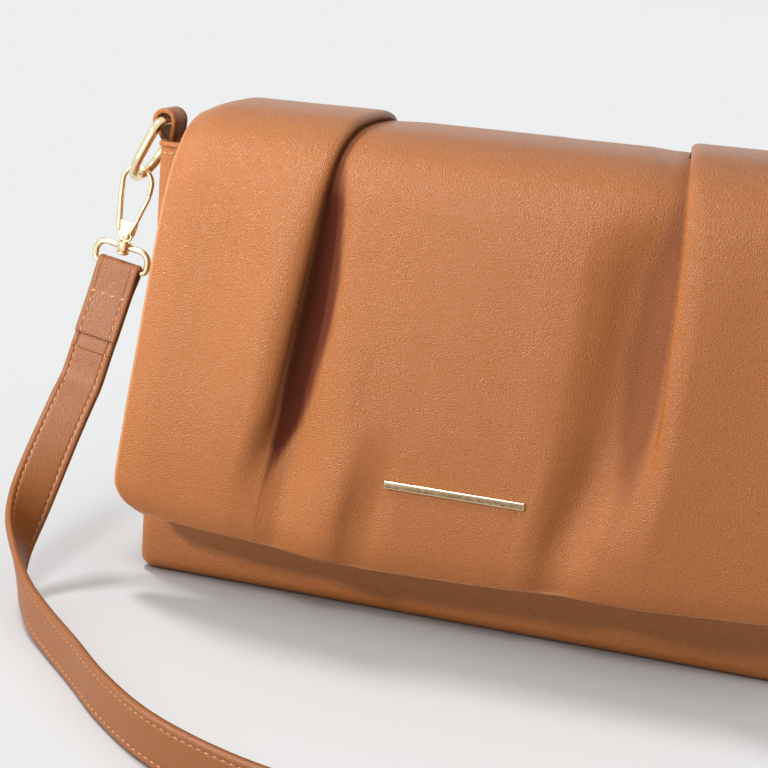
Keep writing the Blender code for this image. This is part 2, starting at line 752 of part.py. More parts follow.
def strap_width_direction(share_from_start, share_from_end, along):
    """Which way the strap's top edge points: sideways at each hook and up where it stands on the floor."""
    start_side = -CLIP_U
    end_side = Vector((-start_side.x, start_side.y, start_side.z))
    up = Vector((0, 0, 1))

    def eased(share):
        share = min(max(share, 0), 1)
        return share * share * (3 - 2 * share)

    from_start = eased(share_from_start)
    from_end = eased(share_from_end)
    direction = up * min(from_start, from_end)
    direction += start_side * (1 - from_start) + end_side * (1 - from_end)
    direction -= along * direction.dot(along)
    return direction.normalized()


def make_strap():
    start = STRAP_BAR + STRAP_DOWN * (STRAP_END_LENGTH + STRAP_START_GAP)
    straight = start + STRAP_DOWN * STRAP_STRAIGHT
    mirror = Matrix.Scale(-1, 3, (1, 0, 0))
    middle = [Vector(point) for point in STRAP_ROUTE]
    points = [start, straight] + middle + [mirror @ straight, mirror @ start]
    route = smooth_route(points, STRAP_STEPS)
    half = STRAP_WIDTH / 2
    thick = STRAP_THICKNESS / 2
    edge = thick * 0.5
    section = [
        (-half, -edge), (-half + edge, -thick), (half - edge, -thick), (half, -edge),
        (half, edge), (half - edge, thick), (-half + edge, thick), (-half, edge),
    ]
    bm = bmesh.new()
    rings = []
    last = len(route) - 1
    for i, point in enumerate(route):
        along = (route[min(i + 1, last)] - route[max(i - 1, 0)]).normalized()
        if i == 0:
            along = STRAP_DOWN
        if i == last:
            along = -(mirror @ STRAP_DOWN)
        turned_points = STRAP_TURN_POINTS * STRAP_STEPS
        width = strap_width_direction(i / turned_points, (last - i) / turned_points, along)
        out = along.cross(width)
        rings.append([bm.verts.new(point + width * a + out * b) for a, b in section])
    bm.faces.new(list(reversed(rings[0])))
    bm.faces.new(rings[-1])
    for low, high in zip(rings, rings[1:]):
        for k in range(len(section)):
            m = (k + 1) % len(section)
            bm.faces.new((low[k], low[m], high[m], high[k]))
    return keep(bm, "strap", leather("strap"), smooth=True)


def make_end(side, mirrored):
    make_tab(side, mirrored)
    ring = make_ring(side, mirrored)
    hook = make_hook(side, mirrored)
    gate = make_gate(side, mirrored)
    pin = make_gate_pin(side, mirrored)
    loop = make_loop(side, mirrored)
    strap_end = make_strap_end(side, mirrored)

    def place(point):
        return Vector((-point.x, point.y, point.z)) if mirrored else point

    hang_on(axis_empty(side + "_ring_axis", place(RING_AXIS)), [ring])
    swing = axis_empty(side + "_clip_axis", place(RING_CONTACT))
    hang_on(swing, [loop, strap_end])
    twist = axis_empty(side + "_swivel_axis", place(clip_point(0, 0, BAR_W)))
    hang_on(swing, [twist])
    hang_on(twist, [hook, pin])
    gate_axis = axis_empty(side + "_gate_axis", place(clip_point(PIVOT_U, 0, PIVOT_W)))
    hang_on(twist, [gate_axis])
    hang_on(gate_axis, [gate])


def main():
    clear_scene()
    make_panels()
    make_base()
    make_gussets()
    make_lining()
    make_flap_root()
    tops, fronts = make_flap()
    fronts.append(make_front_bar())
    fronts.append(make_snap())
    back_hinge = axis_empty("flap_back_hinge", (0, HINGE_Y, HINGE_Z))
    front_fold = axis_empty("flap_front_fold", (0, FOLD_Y, FOLD_Z))
    hang_on(back_hinge, tops + [front_fold])
    hang_on(front_fold, fronts)
    for side, mirrored in (("left", False), ("right", True)):
        make_end(side, mirrored)
    make_strap()


main()
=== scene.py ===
"""The looks of a soft flap bag: a padded, pleated flap over a sewn body, gold fittings and a stitched strap.

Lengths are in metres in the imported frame: X runs along the bag, -Y is the front and +Z is up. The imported
solids stay where they are, and each soft piece made here stands for one or more of them.
"""

import math

import bmesh
import bpy
import numpy as np
from mathutils import Matrix, Vector


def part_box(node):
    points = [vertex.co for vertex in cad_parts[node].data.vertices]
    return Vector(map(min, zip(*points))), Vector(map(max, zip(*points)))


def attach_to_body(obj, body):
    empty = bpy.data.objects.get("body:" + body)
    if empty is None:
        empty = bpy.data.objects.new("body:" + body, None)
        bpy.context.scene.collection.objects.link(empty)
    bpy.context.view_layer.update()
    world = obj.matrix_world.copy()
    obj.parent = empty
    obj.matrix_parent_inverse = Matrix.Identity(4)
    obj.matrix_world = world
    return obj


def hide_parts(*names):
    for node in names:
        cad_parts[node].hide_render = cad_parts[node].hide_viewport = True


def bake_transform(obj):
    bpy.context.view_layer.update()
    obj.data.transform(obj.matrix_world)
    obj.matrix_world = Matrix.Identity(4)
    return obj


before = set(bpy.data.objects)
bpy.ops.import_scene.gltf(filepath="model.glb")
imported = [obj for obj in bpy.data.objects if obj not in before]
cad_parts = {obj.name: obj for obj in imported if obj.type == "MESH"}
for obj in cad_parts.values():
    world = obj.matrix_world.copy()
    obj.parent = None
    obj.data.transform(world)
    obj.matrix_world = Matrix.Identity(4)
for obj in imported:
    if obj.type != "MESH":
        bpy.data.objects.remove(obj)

bl_info = {
    "name": "Soft Flap Bag",
    "version": (1, 0, 0),
    "blender": (4, 5, 0),
    "location": "View3D > Sidebar > Flap Bag",
    "description": "Makes the leather, lining, fittings and strap of a soft flap bag",
    "category": "Add Mesh",
}

MM = 0.001
UP = np.array((0.0, 0.0, 1.0))
SIDES = ("left", "right")

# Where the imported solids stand.
PANEL_LOW, PANEL_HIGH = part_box("front_panel")
TAB_LOW, TAB_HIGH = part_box("left_tab")
# The body's height in millimetres.
RIM = PANEL_HIGH.z / MM

# The strap's and the clip's own directions, at the left end.
CLIP_LEAN = math.radians(10.5)
RING_LEAN = math.radians(27.6)
STRAP_FORWARD = math.radians(18)
RING_WIRE = 1.9 * MM
RING_WIDTH = 22 * MM
RING_HEIGHT = 27 * MM
TAB_FOLD_OUTER = 5.0 * MM
TAB_Y = (TAB_LOW.y + TAB_HIGH.y) / 2
TAB_X = TAB_HIGH.x - 4 * MM
RING_AXIS = np.array((TAB_X - 0.3 * MM, TAB_Y, TAB_HIGH.z - TAB_FOLD_OUTER))
RING_DOWN = np.array((-math.sin(RING_LEAN), 0, -math.cos(RING_LEAN)))
RING_CONTACT = RING_AXIS + RING_DOWN * RING_HEIGHT
CLIP_U = np.array((math.cos(CLIP_LEAN), 0, -math.sin(CLIP_LEAN)))
CLIP_V = np.array((0.0, 1.0, 0.0))
CLIP_W = np.array((math.sin(CLIP_LEAN), 0, math.cos(CLIP_LEAN)))
LOOP_BAR_DOWN = 38.8 * MM
STRAP_BAR = RING_CONTACT - CLIP_W * LOOP_BAR_DOWN
STRAP_DOWN = -CLIP_W * math.cos(STRAP_FORWARD) - CLIP_V * math.sin(STRAP_FORWARD)
STRAP_END_REACH = 36.9 * MM
STRAP_STRAIGHT = 12 * MM
STRAP_TURN_POINTS = 8
# Where the seam of the strap's folded end starts and stops below the bar, in millimetres.
FOLD_SEAM_TOP, FOLD_SEAM_FOOT = 12.3, 29.5

# The strap's centre line from the left end round the front to the right end, in millimetres.
STRAP_ROUTE = [
    (-165.1, -37.5, 68.0), (-167.6, -50.0, 51.0), (-168.2, -63.5, 36.0), (-165.2, -78.0, 25.0),
    (-157.5, -92.5, 17.2), (-146.0, -106.5, 12.4), (-131.0, -120.5, 10.1), (-112.5, -137.5, 9.6),
    (-92.0, -157.3, 9.6), (-67.5, -175.6, 9.6), (-38.0, -188.8, 9.6), (-6.0, -196.5, 9.6),
    (34.0, -202.0, 9.6), (78.0, -205.5, 9.6), (123.0, -204.5, 9.6), (168.0, -196.0, 9.6),
    (208.0, -177.5, 9.6), (237.0, -149.0, 9.6), (250.0, -116.0, 9.8), (245.0, -87.0, 11.2),
    (229.0, -67.0, 16.0), (209.0, -55.5, 26.0), (190.0, -49.0, 40.0), (174.0, -41.0, 58.0),
]
# Route points at which the strap's pieces part: below each clip, and where the strap nears the floor.
HANG_POINTS = 2
SWING_POINTS = 8
ROUTE_STEPS = 10


# Sizes and colours.
def length(name, description, default):
    return bpy.props.FloatProperty(
        name=name, description=description, default=default, unit="LENGTH", subtype="DISTANCE", precision=5
    )


def colour(name, description, default):
    return bpy.props.FloatVectorProperty(
        name=name, description=description, default=default, size=3, min=0, max=1, subtype="COLOR"
    )


def share(name, description, default):
    return bpy.props.FloatProperty(
        name=name, description=description, default=default, min=0, subtype="FACTOR"
    )


class BagSizes(bpy.types.PropertyGroup):
    strap_width: length("Strap width", "The strap across", 18.5 * MM)
    strap_thickness: length("Strap thickness", "The strap through both its layers", 3 * MM)
    strap_margin: length("Strap margin", "From the strap's edge in to its stitches", 2.7 * MM)
    stitch_pitch: length("Stitch pitch", "From one stitch to the next", 3.3 * MM)
    stitch_length: length("Stitch length", "How much thread shows in one stitch", 2.5 * MM)
    thread: length("Thread", "The thread's thickness", 0.6 * MM)
    grain: length("Grain", "One pebble of the leather's grain", 0.48 * MM)


class BagColours(bpy.types.PropertyGroup):
    leather: colour("Leather", "The coated leather", (0.405, 0.130, 0.027))
    thread: colour("Thread", "The thread of every seam", (0.62, 0.31, 0.14))
    lining: colour("Lining", "The twill inside", (0.46, 0.36, 0.26))
    gold: colour("Gold", "The plated fittings", (0.95, 0.80, 0.50))
    floor: colour("Floor", "The floor and the backdrop", (0.847, 0.847, 0.847))
    leather_roughness: share("Leather roughness", "How matt the leather is", 0.30)
    gold_roughness: share("Gold roughness", "How matt the plating is", 0.16)


class StagePlan(bpy.types.PropertyGroup):
    yaw: bpy.props.FloatProperty(name="Yaw", description="Camera's turn to the bag's left", default=0.247,
                                 subtype="ANGLE")
    pitch: bpy.props.FloatProperty(name="Pitch", description="Camera's tilt downwards", default=0.273,
                                   subtype="ANGLE")
    roll: bpy.props.FloatProperty(name="Roll", description="Camera's turn about its own line of sight",
                                  default=0.080, subtype="ANGLE")
    distance: length("Distance", "Camera to the point it looks at", 614.064 * MM)
    lens: bpy.props.FloatProperty(name="Lens", description="Focal length in millimetres", default=70.31)
    key: share("Key", "Power of the lamp at the front left, in watts", 3.0)
    overhead: share("Overhead lamp", "Power of the broad lamp above the front, in watts", 8.6)
    low_front: share("Low front lamp", "Power of the low broad lamp in front, in watts", 2.5)
    fill: share("Fill", "Strength of the even light all round", 0.16)
    floor_behind: share("Floor lamp behind", "Strength of the floor's lamp from behind", 1.6)
    floor_above: share("Floor lamp above", "Strength of the floor's wide lamp above", 2.0)
    floor_front: share("Floor lamp in front", "Strength of the floor's lamp from the front", 0.7)


# Curves and grids of points.
def curve_through(points, counts):
    """Points on a smooth curve through the control points of each row: points is (..., K, D), and counts
    gives the steps from each control point to the next."""
    points = np.asarray(points, float)
    step = np.diff(points, axis=-2)
    chord = np.maximum(np.linalg.norm(step, axis=-1, keepdims=True), 1e-9)
    slope = step / chord
    before, after = chord[..., :-1, :], chord[..., 1:, :]
    inner = (slope[..., :-1, :] * after + slope[..., 1:, :] * before) / (before + after)
    tangent = np.concatenate([slope[..., :1, :], inner, slope[..., -1:, :]], axis=-2)
    found = []
    for k, count in enumerate(counts):
        t = (np.arange(count) / count)[:, None]
        a, b = points[..., k:k + 1, :], points[..., k + 1:k + 2, :]
        p = tangent[..., k:k + 1, :] * chord[..., k:k + 1, :]
        q = tangent[..., k + 1:k + 2, :] * chord[..., k:k + 1, :]
        found.append(
            a * (2 * t ** 3 - 3 * t ** 2 + 1) + p * (t ** 3 - 2 * t ** 2 + t)
            + b * (3 * t ** 2 - 2 * t ** 3) + q * (t ** 3 - t ** 2)
        )
    found.append(points[..., -1:, :])
    return np.concatenate(found, axis=-2)


def even_curve(points, spacing):
    """Points about that far apart on a smooth curve through the points."""
    points = np.asarray(points, float)
    chords = np.linalg.norm(np.diff(points, axis=0), axis=1)
    return curve_through(points, [max(1, round(chord / spacing)) for chord in chords])


def arc(centre, radius, start, end, steps):
    angles = np.radians(np.linspace(start, end, steps + 1))
    return [(centre[0] + radius * math.cos(a), centre[1] + radius * math.sin(a)) for a in angles]


def unit(vectors):
    vectors = np.asarray(vectors, float)
    return vectors / np.maximum(np.linalg.norm(vectors, axis=-1, keepdims=True), 1e-12)


def eased(value):
    value = np.clip(value, 0, 1)
    return value * value * (3 - 2 * value)


def along(points, closed=False):
    if closed:
        return unit(np.roll(points, -1, axis=0) - np.roll(points, 1, axis=0))
    return unit(np.gradient(np.asarray(points, float), axis=0))


def grid_faces(rows, columns, close_rows=False, caps=False):
    """Faces over a grid of points whose columns close on themselves, with a cap on the first and the last row
    if asked."""
    found = []
    for i in range(rows if close_rows else rows - 1):
        low, high = i * columns, (i + 1) % rows * columns
        for j in range(columns):
            k = (j + 1) % columns
            found.append((low + j, low + k, high + k, high + j))
    if caps:
        found.append(tuple(reversed(range(columns))))
        found.append(tuple(range((rows - 1) * columns, rows * columns)))
    return found


def flat_faces(loops, outer_count, edge_count):
    """Faces over the loops of a flat piece, with strips that close its first and last loop. Each loop has its
    outer face's points, one edge's, its inner face's and the other edge's."""
    rows, columns = loops.shape[:2]
    faces = grid_faces(rows, columns)
    for row, flip in ((0, True), (rows - 1, False)):
        base = row * columns
        outer = [base + k for k in range(outer_count)]
        inner = [base + outer_count + edge_count + outer_count - 1 - k for k in range(outer_count)]
        found = [(outer[k], outer[k + 1], inner[k + 1], inner[k]) for k in range(outer_count - 1)]
        if edge_count:
            right = [base + outer_count + k for k in range(edge_count)]
            left = [base + 2 * outer_count + edge_count + k for k in range(edge_count)]
            found += [(outer[-1], *right, inner[-1]), (inner[0], *left, outer[0])]
        faces += [tuple(reversed(face)) if flip else face for face in found]
    return faces


def grid_normals(grid):
    """Normals of a grid of points whose columns close on themselves."""
    across = np.roll(grid, -1, axis=1) - np.roll(grid, 1, axis=1)
    return unit(np.cross(across, np.gradient(grid, axis=0)))


def add_object(name, data):
    obj = bpy.data.objects.new(name, data)
    bpy.context.scene.collection.objects.link(obj)
    return obj


def make_piece(name, points, faces, surface, normals=None):
    mesh = bpy.data.meshes.new(name)
    mesh.from_pydata([tuple(p) for p in np.asarray(points, float).reshape(-1, 3)], [], faces)
    mesh.polygons.foreach_set("use_smooth", [True] * len(mesh.polygons))
    bm = bmesh.new()
    bm.from_mesh(mesh)
    bmesh.ops.recalc_face_normals(bm, faces=bm.faces)
    bm.to_mesh(mesh)
    bm.free()
    mesh.update()
    if normals is not None:
        normals = np.asarray(normals, float).reshape(-1, 3)
        shown = np.array([v.normal for v in mesh.vertices])
        if (normals * shown).sum() < 0:
            normals = -normals
        mesh.normals_split_custom_set_from_vertices([tuple(n) for n in normals])
    mesh.materials.append(surface)
    return add_object(name, mesh)


def mirror(points):
    return np.asarray(points, float) * (-1, 1, 1)


def placed(points, side):
    return mirror(points) if side == "right" else np.asarray(points, float)


def placed_lines(lines, side):
    return [(placed(line, side), placed(facing, side)) for line, facing in lines]


def make_tube(name, loops, surface, normals=None):
    """A piece through closed loops of points, capped at both ends."""
    return make_piece(name, loops, grid_faces(*loops.shape[:2], caps=True), surface, normals)


def attach(piece, body, slot, *nodes):
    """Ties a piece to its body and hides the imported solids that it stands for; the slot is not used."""
    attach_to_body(piece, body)
    if nodes:
        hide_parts(*nodes)


def refinish(node_name, material):
    """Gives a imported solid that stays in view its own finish."""
    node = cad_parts[node_name]
    node.data.materials.clear()
    node.data.materials.append(material)


def bend_with_flap(piece, at_back):
    """Bakes a leather piece's transform into its mesh, the same way for a piece at the hinge behind or at the
    one in front.
    """
    if at_back:
        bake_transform(piece)
    else:
        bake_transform(piece)


def mesh_lists(bm):
    """The points and faces of a mesh being edited, which is then let go."""
    bm.verts.index_update()
    points = np.array([vertex.co for vertex in bm.verts])
    faces = [tuple(vertex.index for vertex in face.verts) for face in bm.faces]
    bm.free()
    return points, faces


# Materials.
class Nodes:
    """A short way to write a material's or a tree's nodes."""

    def __init__(self, tree):
        self.tree = tree

    def put(self, socket, value):
        if isinstance(value, bpy.types.NodeSocket):
            self.tree.links.new(value, socket)
        else:
            socket.default_value = value

    def add(self, kind, inputs=None, **settings):
        node = self.tree.nodes.new(kind)
        for name, value in settings.items():
            setattr(node, name, value)
        for name, value in (inputs or {}).items():
            self.put(node.inputs[name], value)
        return node

    def place(self):
        return self.add("ShaderNodeTexCoord").outputs["Object"]

    def math(self, operation, first, second=0.0):
        return self.add("ShaderNodeMath", {0: first, 1: second}, operation=operation).outputs[0]

    def noise(self, place, scale, detail, roughness=0.5):
        return self.add("ShaderNodeTexNoise", {
            "Vector": place, "Scale": scale, "Detail": detail, "Roughness": roughness,
        }).outputs["Fac"]

    def ribs(self, place, scale, distortion, detail):
        return self.add("ShaderNodeTexWave", {
            "Vector": place, "Scale": scale, "Distortion": distortion, "Detail": detail,
        }, bands_direction="DIAGONAL").outputs["Fac"]

    def marked(self, name):
        """What the mesh's attribute of that name says at each point."""
        return self.add("ShaderNodeAttribute", attribute_name=name).outputs["Fac"]

    def mixed(self, factor, low, high):
        """One colour turning into the other as the factor grows from 0 to 1."""
        low, high = (
            shade if isinstance(shade, bpy.types.NodeSocket) else (*shade, 1) for shade in (low, high)
        )
        return self.add("ShaderNodeMix", {"Factor": factor, 6: low, 7: high}, data_type="RGBA").outputs[2]

    def spread(self, value, low, high, to_low, to_high):
        """The value's span from low to high stretched to another span."""
        return self.add("ShaderNodeMapRange", {
            "Value": value, "From Min": low, "From Max": high, "To Min": to_low, "To Max": to_high,
        }).outputs[0]

    def bumps(self, height, strength, depth):
        """Bumps of that depth in millimetres."""
        return self.add("ShaderNodeBump", {
            "Height": height, "Strength": strength, "Distance": depth * MM,
        }).outputs[0]

    def seen_straight(self):
        """1 for the camera and for what gloss and glass show of a surface, 0 for the light it sends on."""
        ray = self.add("ShaderNodeLightPath").outputs
        shown = self.math("MAXIMUM", ray["Is Camera Ray"], ray["Is Glossy Ray"])
        return self.math("MAXIMUM", shown, ray["Is Transmission Ray"])


def scaled(shade, factor):
    return tuple(min(1.0, part * factor) for part in shade)


def material_once(name, build):
    """The material of that name. It is built when it's first wanted: build(nodes) gives the value or the
    socket for each of the Principled shader's inputs that it sets."""
    material = bpy.data.materials.get(name)
    if material is None:
        material = bpy.data.materials.new(name)
        material.use_nodes = True
        nodes = Nodes(material.node_tree)
        shader = material.node_tree.nodes["Principled BSDF"]
        for socket, value in build(nodes).items():
            nodes.put(shader.inputs[socket], value)
    return material


def leather_material(name="pebbled_leather", tone=1.0, grain_depth=1.0, roughness=None):
    """Coated leather: fine pebbles that catch the light, with broad slow changes of tone. It is darkened with
    painted shade, and made matt, where the mesh is marked "crease", and paler with a painted highlight along
    the edges marked for it."""
    def build(nodes):
        sizes, colours = bpy.context.scene.bag_sizes, bpy.context.scene.bag_colours
        base = scaled(colours.leather, tone)
        matt = roughness or colours.leather_roughness
        place = nodes.place()
        pebbles = nodes.add("ShaderNodeTexVoronoi", {
            "Vector": place, "Scale": 1 / sizes.grain, "Randomness": 1.0, "Smoothness": 0.35,
        }, feature="SMOOTH_F1").outputs["Distance"]
        wrinkles = nodes.noise(place, 0.45 / sizes.grain, 4.0, 0.6)
        height = nodes.math("SUBTRACT", nodes.math("MULTIPLY", wrinkles, 0.35), pebbles)
        shade = nodes.mixed(nodes.noise(place, 16.0, 3.0), scaled(base, 0.965), scaled(base, 1.035))
        pits = nodes.spread(pebbles, 0.1, 0.75, 1.06, 0.83)
        shade = nodes.add("ShaderNodeVectorMath", {0: shade, 1: pits}, operation="MULTIPLY").outputs[0]
        # Painted shade: inside the pleats, marked "crease", the leather turns to a deep brown that stands in
        # for their shade, and grows matt.
        painted_shade_mask = nodes.marked("crease")
        shade = nodes.mixed(painted_shade_mask, shade, (base[0] * 0.25, base[1] * 0.12, base[2] * 0.06))
        # Painted highlight: the marked edges turn pale, standing in for light caught on the rolled edges.
        edge_highlight = nodes.math("MULTIPLY", nodes.marked("painted_edge_highlight"), 0.5)
        shade = nodes.mixed(edge_highlight, shade, (min(1, base[0] * 1.5), base[1] * 2.4, base[2] * 5.0))
        rough = nodes.spread(wrinkles, 0.3, 0.7, matt - 0.04, matt + 0.04)
        rough = nodes.add("ShaderNodeMix", {0: painted_shade_mask, 2: rough, 3: 0.95}).outputs[0]
        return {"Base Color": shade, "Roughness": rough, "Normal": nodes.bumps(height, grain_depth, 0.28),
                "Specular IOR Level": 0.42}
    return material_once(name, build)


# The strap's leather is a darker tone of the bag's: partly its own smoother leather and partly painted shade
# for the strap's upper part, turned away from the light.
def strap_leather():
    return leather_material("strap_leather", 0.64, 0.5, 0.42)


def thread_material():
    def build(nodes):
        base = tuple(bpy.context.scene.bag_colours.thread)
        ply = nodes.ribs(nodes.place(), 900.0, 1.5, 1.0)
        return {"Base Color": nodes.mixed(ply, scaled(base, 0.8), scaled(base, 1.15)),
                "Normal": nodes.bumps(ply, 0.4, 0.08), "Roughness": 0.55}
    return material_once("waxed_thread", build)


def gold_material():
    def build(nodes):
        colours = bpy.context.scene.bag_colours
        base, matt = tuple(colours.gold), colours.gold_roughness
        place = nodes.place()
        worn = nodes.noise(place, 900.0, 4.0)
        return {"Base Color": nodes.mixed(nodes.noise(place, 120.0, 2.0), scaled(base, 0.96), base),
                "Roughness": nodes.spread(worn, 0.3, 0.7, matt - 0.03, matt + 0.04),
                "Normal": nodes.bumps(worn, 0.03, 0.02), "Metallic": 1.0}
    return material_once("plated_gold", build)


def lining_material():
    """A twill: fine slanting ribs with a little sheen."""
    def build(nodes):
        base = tuple(bpy.context.scene.bag_colours.lining)
        place = nodes.place()
        ribs = nodes.ribs(place, 420.0, 0.6, 2.0)
        slubs = nodes.math("MULTIPLY", nodes.noise(place, 60.0, 5.0), 0.35)
        shade = nodes.mixed(ribs, scaled(base, 0.72), scaled(base, 1.1))
        return {"Base Color": nodes.mixed(slubs, shade, scaled(base, 0.8)),
                "Normal": nodes.bumps(ribs, 0.5, 0.12), "Roughness": 0.8, "Sheen Weight": 0.25}
    return material_once("twill_lining", build)


def board_material():
    def build(nodes):
        fibres = nodes.noise(nodes.place(), 500.0, 6.0)
        return {"Base Color": nodes.mixed(fibres, (0.24, 0.22, 0.19), (0.42, 0.39, 0.34)),
                "Normal": nodes.bumps(fibres, 0.4, 0.1), "Roughness": 0.9}
    return material_once("grey_board", build)


def floor_material():
    """A pale floor that keeps the shadows, and sends a little more light on than it shows."""
    def build(nodes):
        floor = bpy.context.scene.bag_colours.floor
        return {"Base Color": nodes.mixed(nodes.seen_straight(), scaled(floor, 0.8), scaled(floor, 0.7)),
                "Roughness": 1.0, "Specular IOR Level": 0.0}
    return material_once("pale_floor", build)


# Stitches.
STITCH_SLANT = 0.14
STITCH_WOBBLE = 0.05


def stitch_tree():
    """Geometry nodes that lay one stitch after another along each seam line. The lines carry an
    attribute "outward", which way the leather faces."""
    tree = bpy.data.node_groups.get("Seam stitches")
    if tree:
        return tree
    tree = bpy.data.node_groups.new("Seam stitches", "GeometryNodeTree")

    def socket(name, kind, default=None, in_out="INPUT"):
        made = tree.interface.new_socket(name, in_out=in_out, socket_type="NodeSocket" + kind)
        if default is not None:
            made.default_value = default

    socket("Seam lines", "Geometry")
    socket("Pitch", "Float", 3.3 * MM)
    socket("Stitch length", "Float", 2.5 * MM)
    socket("Thread", "Float", 0.6 * MM)
    socket("Slant", "Float", STITCH_SLANT)
    socket("Seed", "Int", 7)
    socket("Thread finish", "Material")
    socket("Stitches", "Geometry", in_out="OUTPUT")
    nodes = Nodes(tree)
    given = nodes.add("NodeGroupInput").outputs
    line = nodes.add("GeometryNodeMeshToCurve", {"Mesh": given["Seam lines"]}).outputs[0]
    spaced = nodes.add("GeometryNodeResampleCurve", {"Curve": line, "Length": given["Pitch"]},
                       mode="LENGTH").outputs[0]
    tangent = nodes.add("GeometryNodeInputTangent").outputs[0]
    outward = nodes.add("GeometryNodeInputNamedAttribute", {"Name": "outward"},
                        data_type="FLOAT_VECTOR").outputs["Attribute"]
    lying = nodes.add("FunctionNodeAlignRotationToVector", {"Vector": tangent}, axis="X").outputs[0]
    facing = nodes.add("FunctionNodeAlignRotationToVector", {"Rotation": lying, "Vector": outward},
                       axis="Z", pivot_axis="X").outputs[0]
    # The random node's third and fourth inputs and its second output are the ones for plain numbers.
    wobble = nodes.add("FunctionNodeRandomValue", {
        2: -STITCH_WOBBLE, 3: STITCH_WOBBLE, "Seed": given["Seed"],
    }, data_type="FLOAT").outputs[1]
    angle = nodes.math("ADD", given["Slant"], wobble)
    slant = nodes.add("FunctionNodeAxisAngleToRotation", {"Axis": (0, 0, 1), "Angle": angle}).outputs[0]
    turned = nodes.add("FunctionNodeRotateRotation", {"Rotation": facing, "Rotate By": slant},
                       rotation_space="LOCAL").outputs[0]
    bead = nodes.add("GeometryNodeMeshUVSphere", {"Segments": 8, "Rings": 6, "Radius": 0.5}).outputs[0]
    bead = nodes.add("GeometryNodeSetShadeSmooth", {"Geometry": bead}).outputs[0]
    size = nodes.add("ShaderNodeCombineXYZ", {
        "X": given["Stitch length"], "Y": given["Thread"], "Z": given["Thread"],
    }).outputs[0]
    laid = nodes.add("GeometryNodeInstanceOnPoints", {
        "Points": spaced, "Instance": bead, "Rotation": turned, "Scale": size,
    }).outputs[0]
    real = nodes.add("GeometryNodeRealizeInstances", {"Geometry": laid}).outputs[0]
    finished = nodes.add("GeometryNodeSetMaterial", {
        "Geometry": real, "Material": given["Thread finish"],
    }).outputs[0]
    nodes.add("NodeGroupOutput", {"Stitches": finished})
    return tree


def make_stitches(name, lines, pitch=None, thread=None):
    """One mesh of stitches along every line, each line being (points, outward directions)."""
    sizes = bpy.context.scene.bag_sizes
    points, edges, outward = [], [], []
    for line, facing in lines:
        first = len(points)
        points += [tuple(p) for p in line]
        outward += [tuple(f) for f in np.broadcast_to(facing, np.shape(line))]
        edges += [(i, i + 1) for i in range(first, len(points) - 1)]
    mesh = bpy.data.meshes.new(name)
    mesh.from_pydata(points, edges, [])
    mesh.attributes.new("outward", "FLOAT_VECTOR", "POINT").data.foreach_set("vector", np.ravel(outward))
    obj = add_object(name, mesh)
    modifier = obj.modifiers.new("stitches", "NODES")
    modifier.node_group = stitch_tree()
    pitch = pitch or sizes.stitch_pitch
    values = {
        "Pitch": pitch, "Stitch length": pitch * sizes.stitch_length / sizes.stitch_pitch,
        "Thread": thread or sizes.thread, "Slant": STITCH_SLANT, "Thread finish": thread_material(),
    }
    for item in modifier.node_group.interface.items_tree:
        if item.in_out == "INPUT" and item.name in values:
            modifier[item.identifier] = values[item.name]
    graph = bpy.context.evaluated_depsgraph_get()
    made = bpy.data.meshes.new_from_object(obj.evaluated_get(graph))
    obj.modifiers.remove(modifier)
    obj.data = made
    if not made.polygons:
        raise RuntimeError(name + " has no stitches")
    return obj


# The strap.
def strap_profile(half, thick, margin):
    """The strap across, as (sideways, outwards) with outwards a share of half its thickness: rounded edges
    and a groove along each seam."""
    edge = thick * 0.42
    seam = half - margin
    groove = 0.62 * MM
    sideways = [half - edge + edge * math.cos(math.radians(a)) for a in (0, 22, 45, 68, 90)]
    sideways += list(np.linspace(half - edge, seam + 1.6 * groove, 3)[1:])
    sideways += [seam + groove * k for k in (0.9, 0.45, 0, -0.45, -0.9, -1.7)]
    sideways += list(np.linspace(seam - 1.7 * groove, 0, 5)[1:])
    quarter = []
    for w in sideways:
        into_edge = max(0.0, (w - (half - edge)) / edge)
        height = math.sqrt(max(0.0, 1 - into_edge ** 2))
        height -= 0.26 * math.exp(-((w - seam) / (0.55 * groove)) ** 2)
        height -= 0.05 * (1 if w < seam else 0)
        quarter.append((w, height))
    top = quarter + [(-w, h) for w, h in reversed(quarter[:-1])]
    under = [(w, -h) for w, h in reversed(top[1:-1])]
    return np.array(top + under)


def ribbon(centre, width, outward, thickness, profile):
    """The strap's section carried along its centre line."""
    half_thick = np.broadcast_to(np.asarray(thickness, float) / 2, (len(centre),))
    return (
        centre[:, None, :] + width[:, None, :] * profile[None, :, 0, None]
        + outward[:, None, :] * (profile[None, :, 1, None] * half_thick[:, None, None])
    )


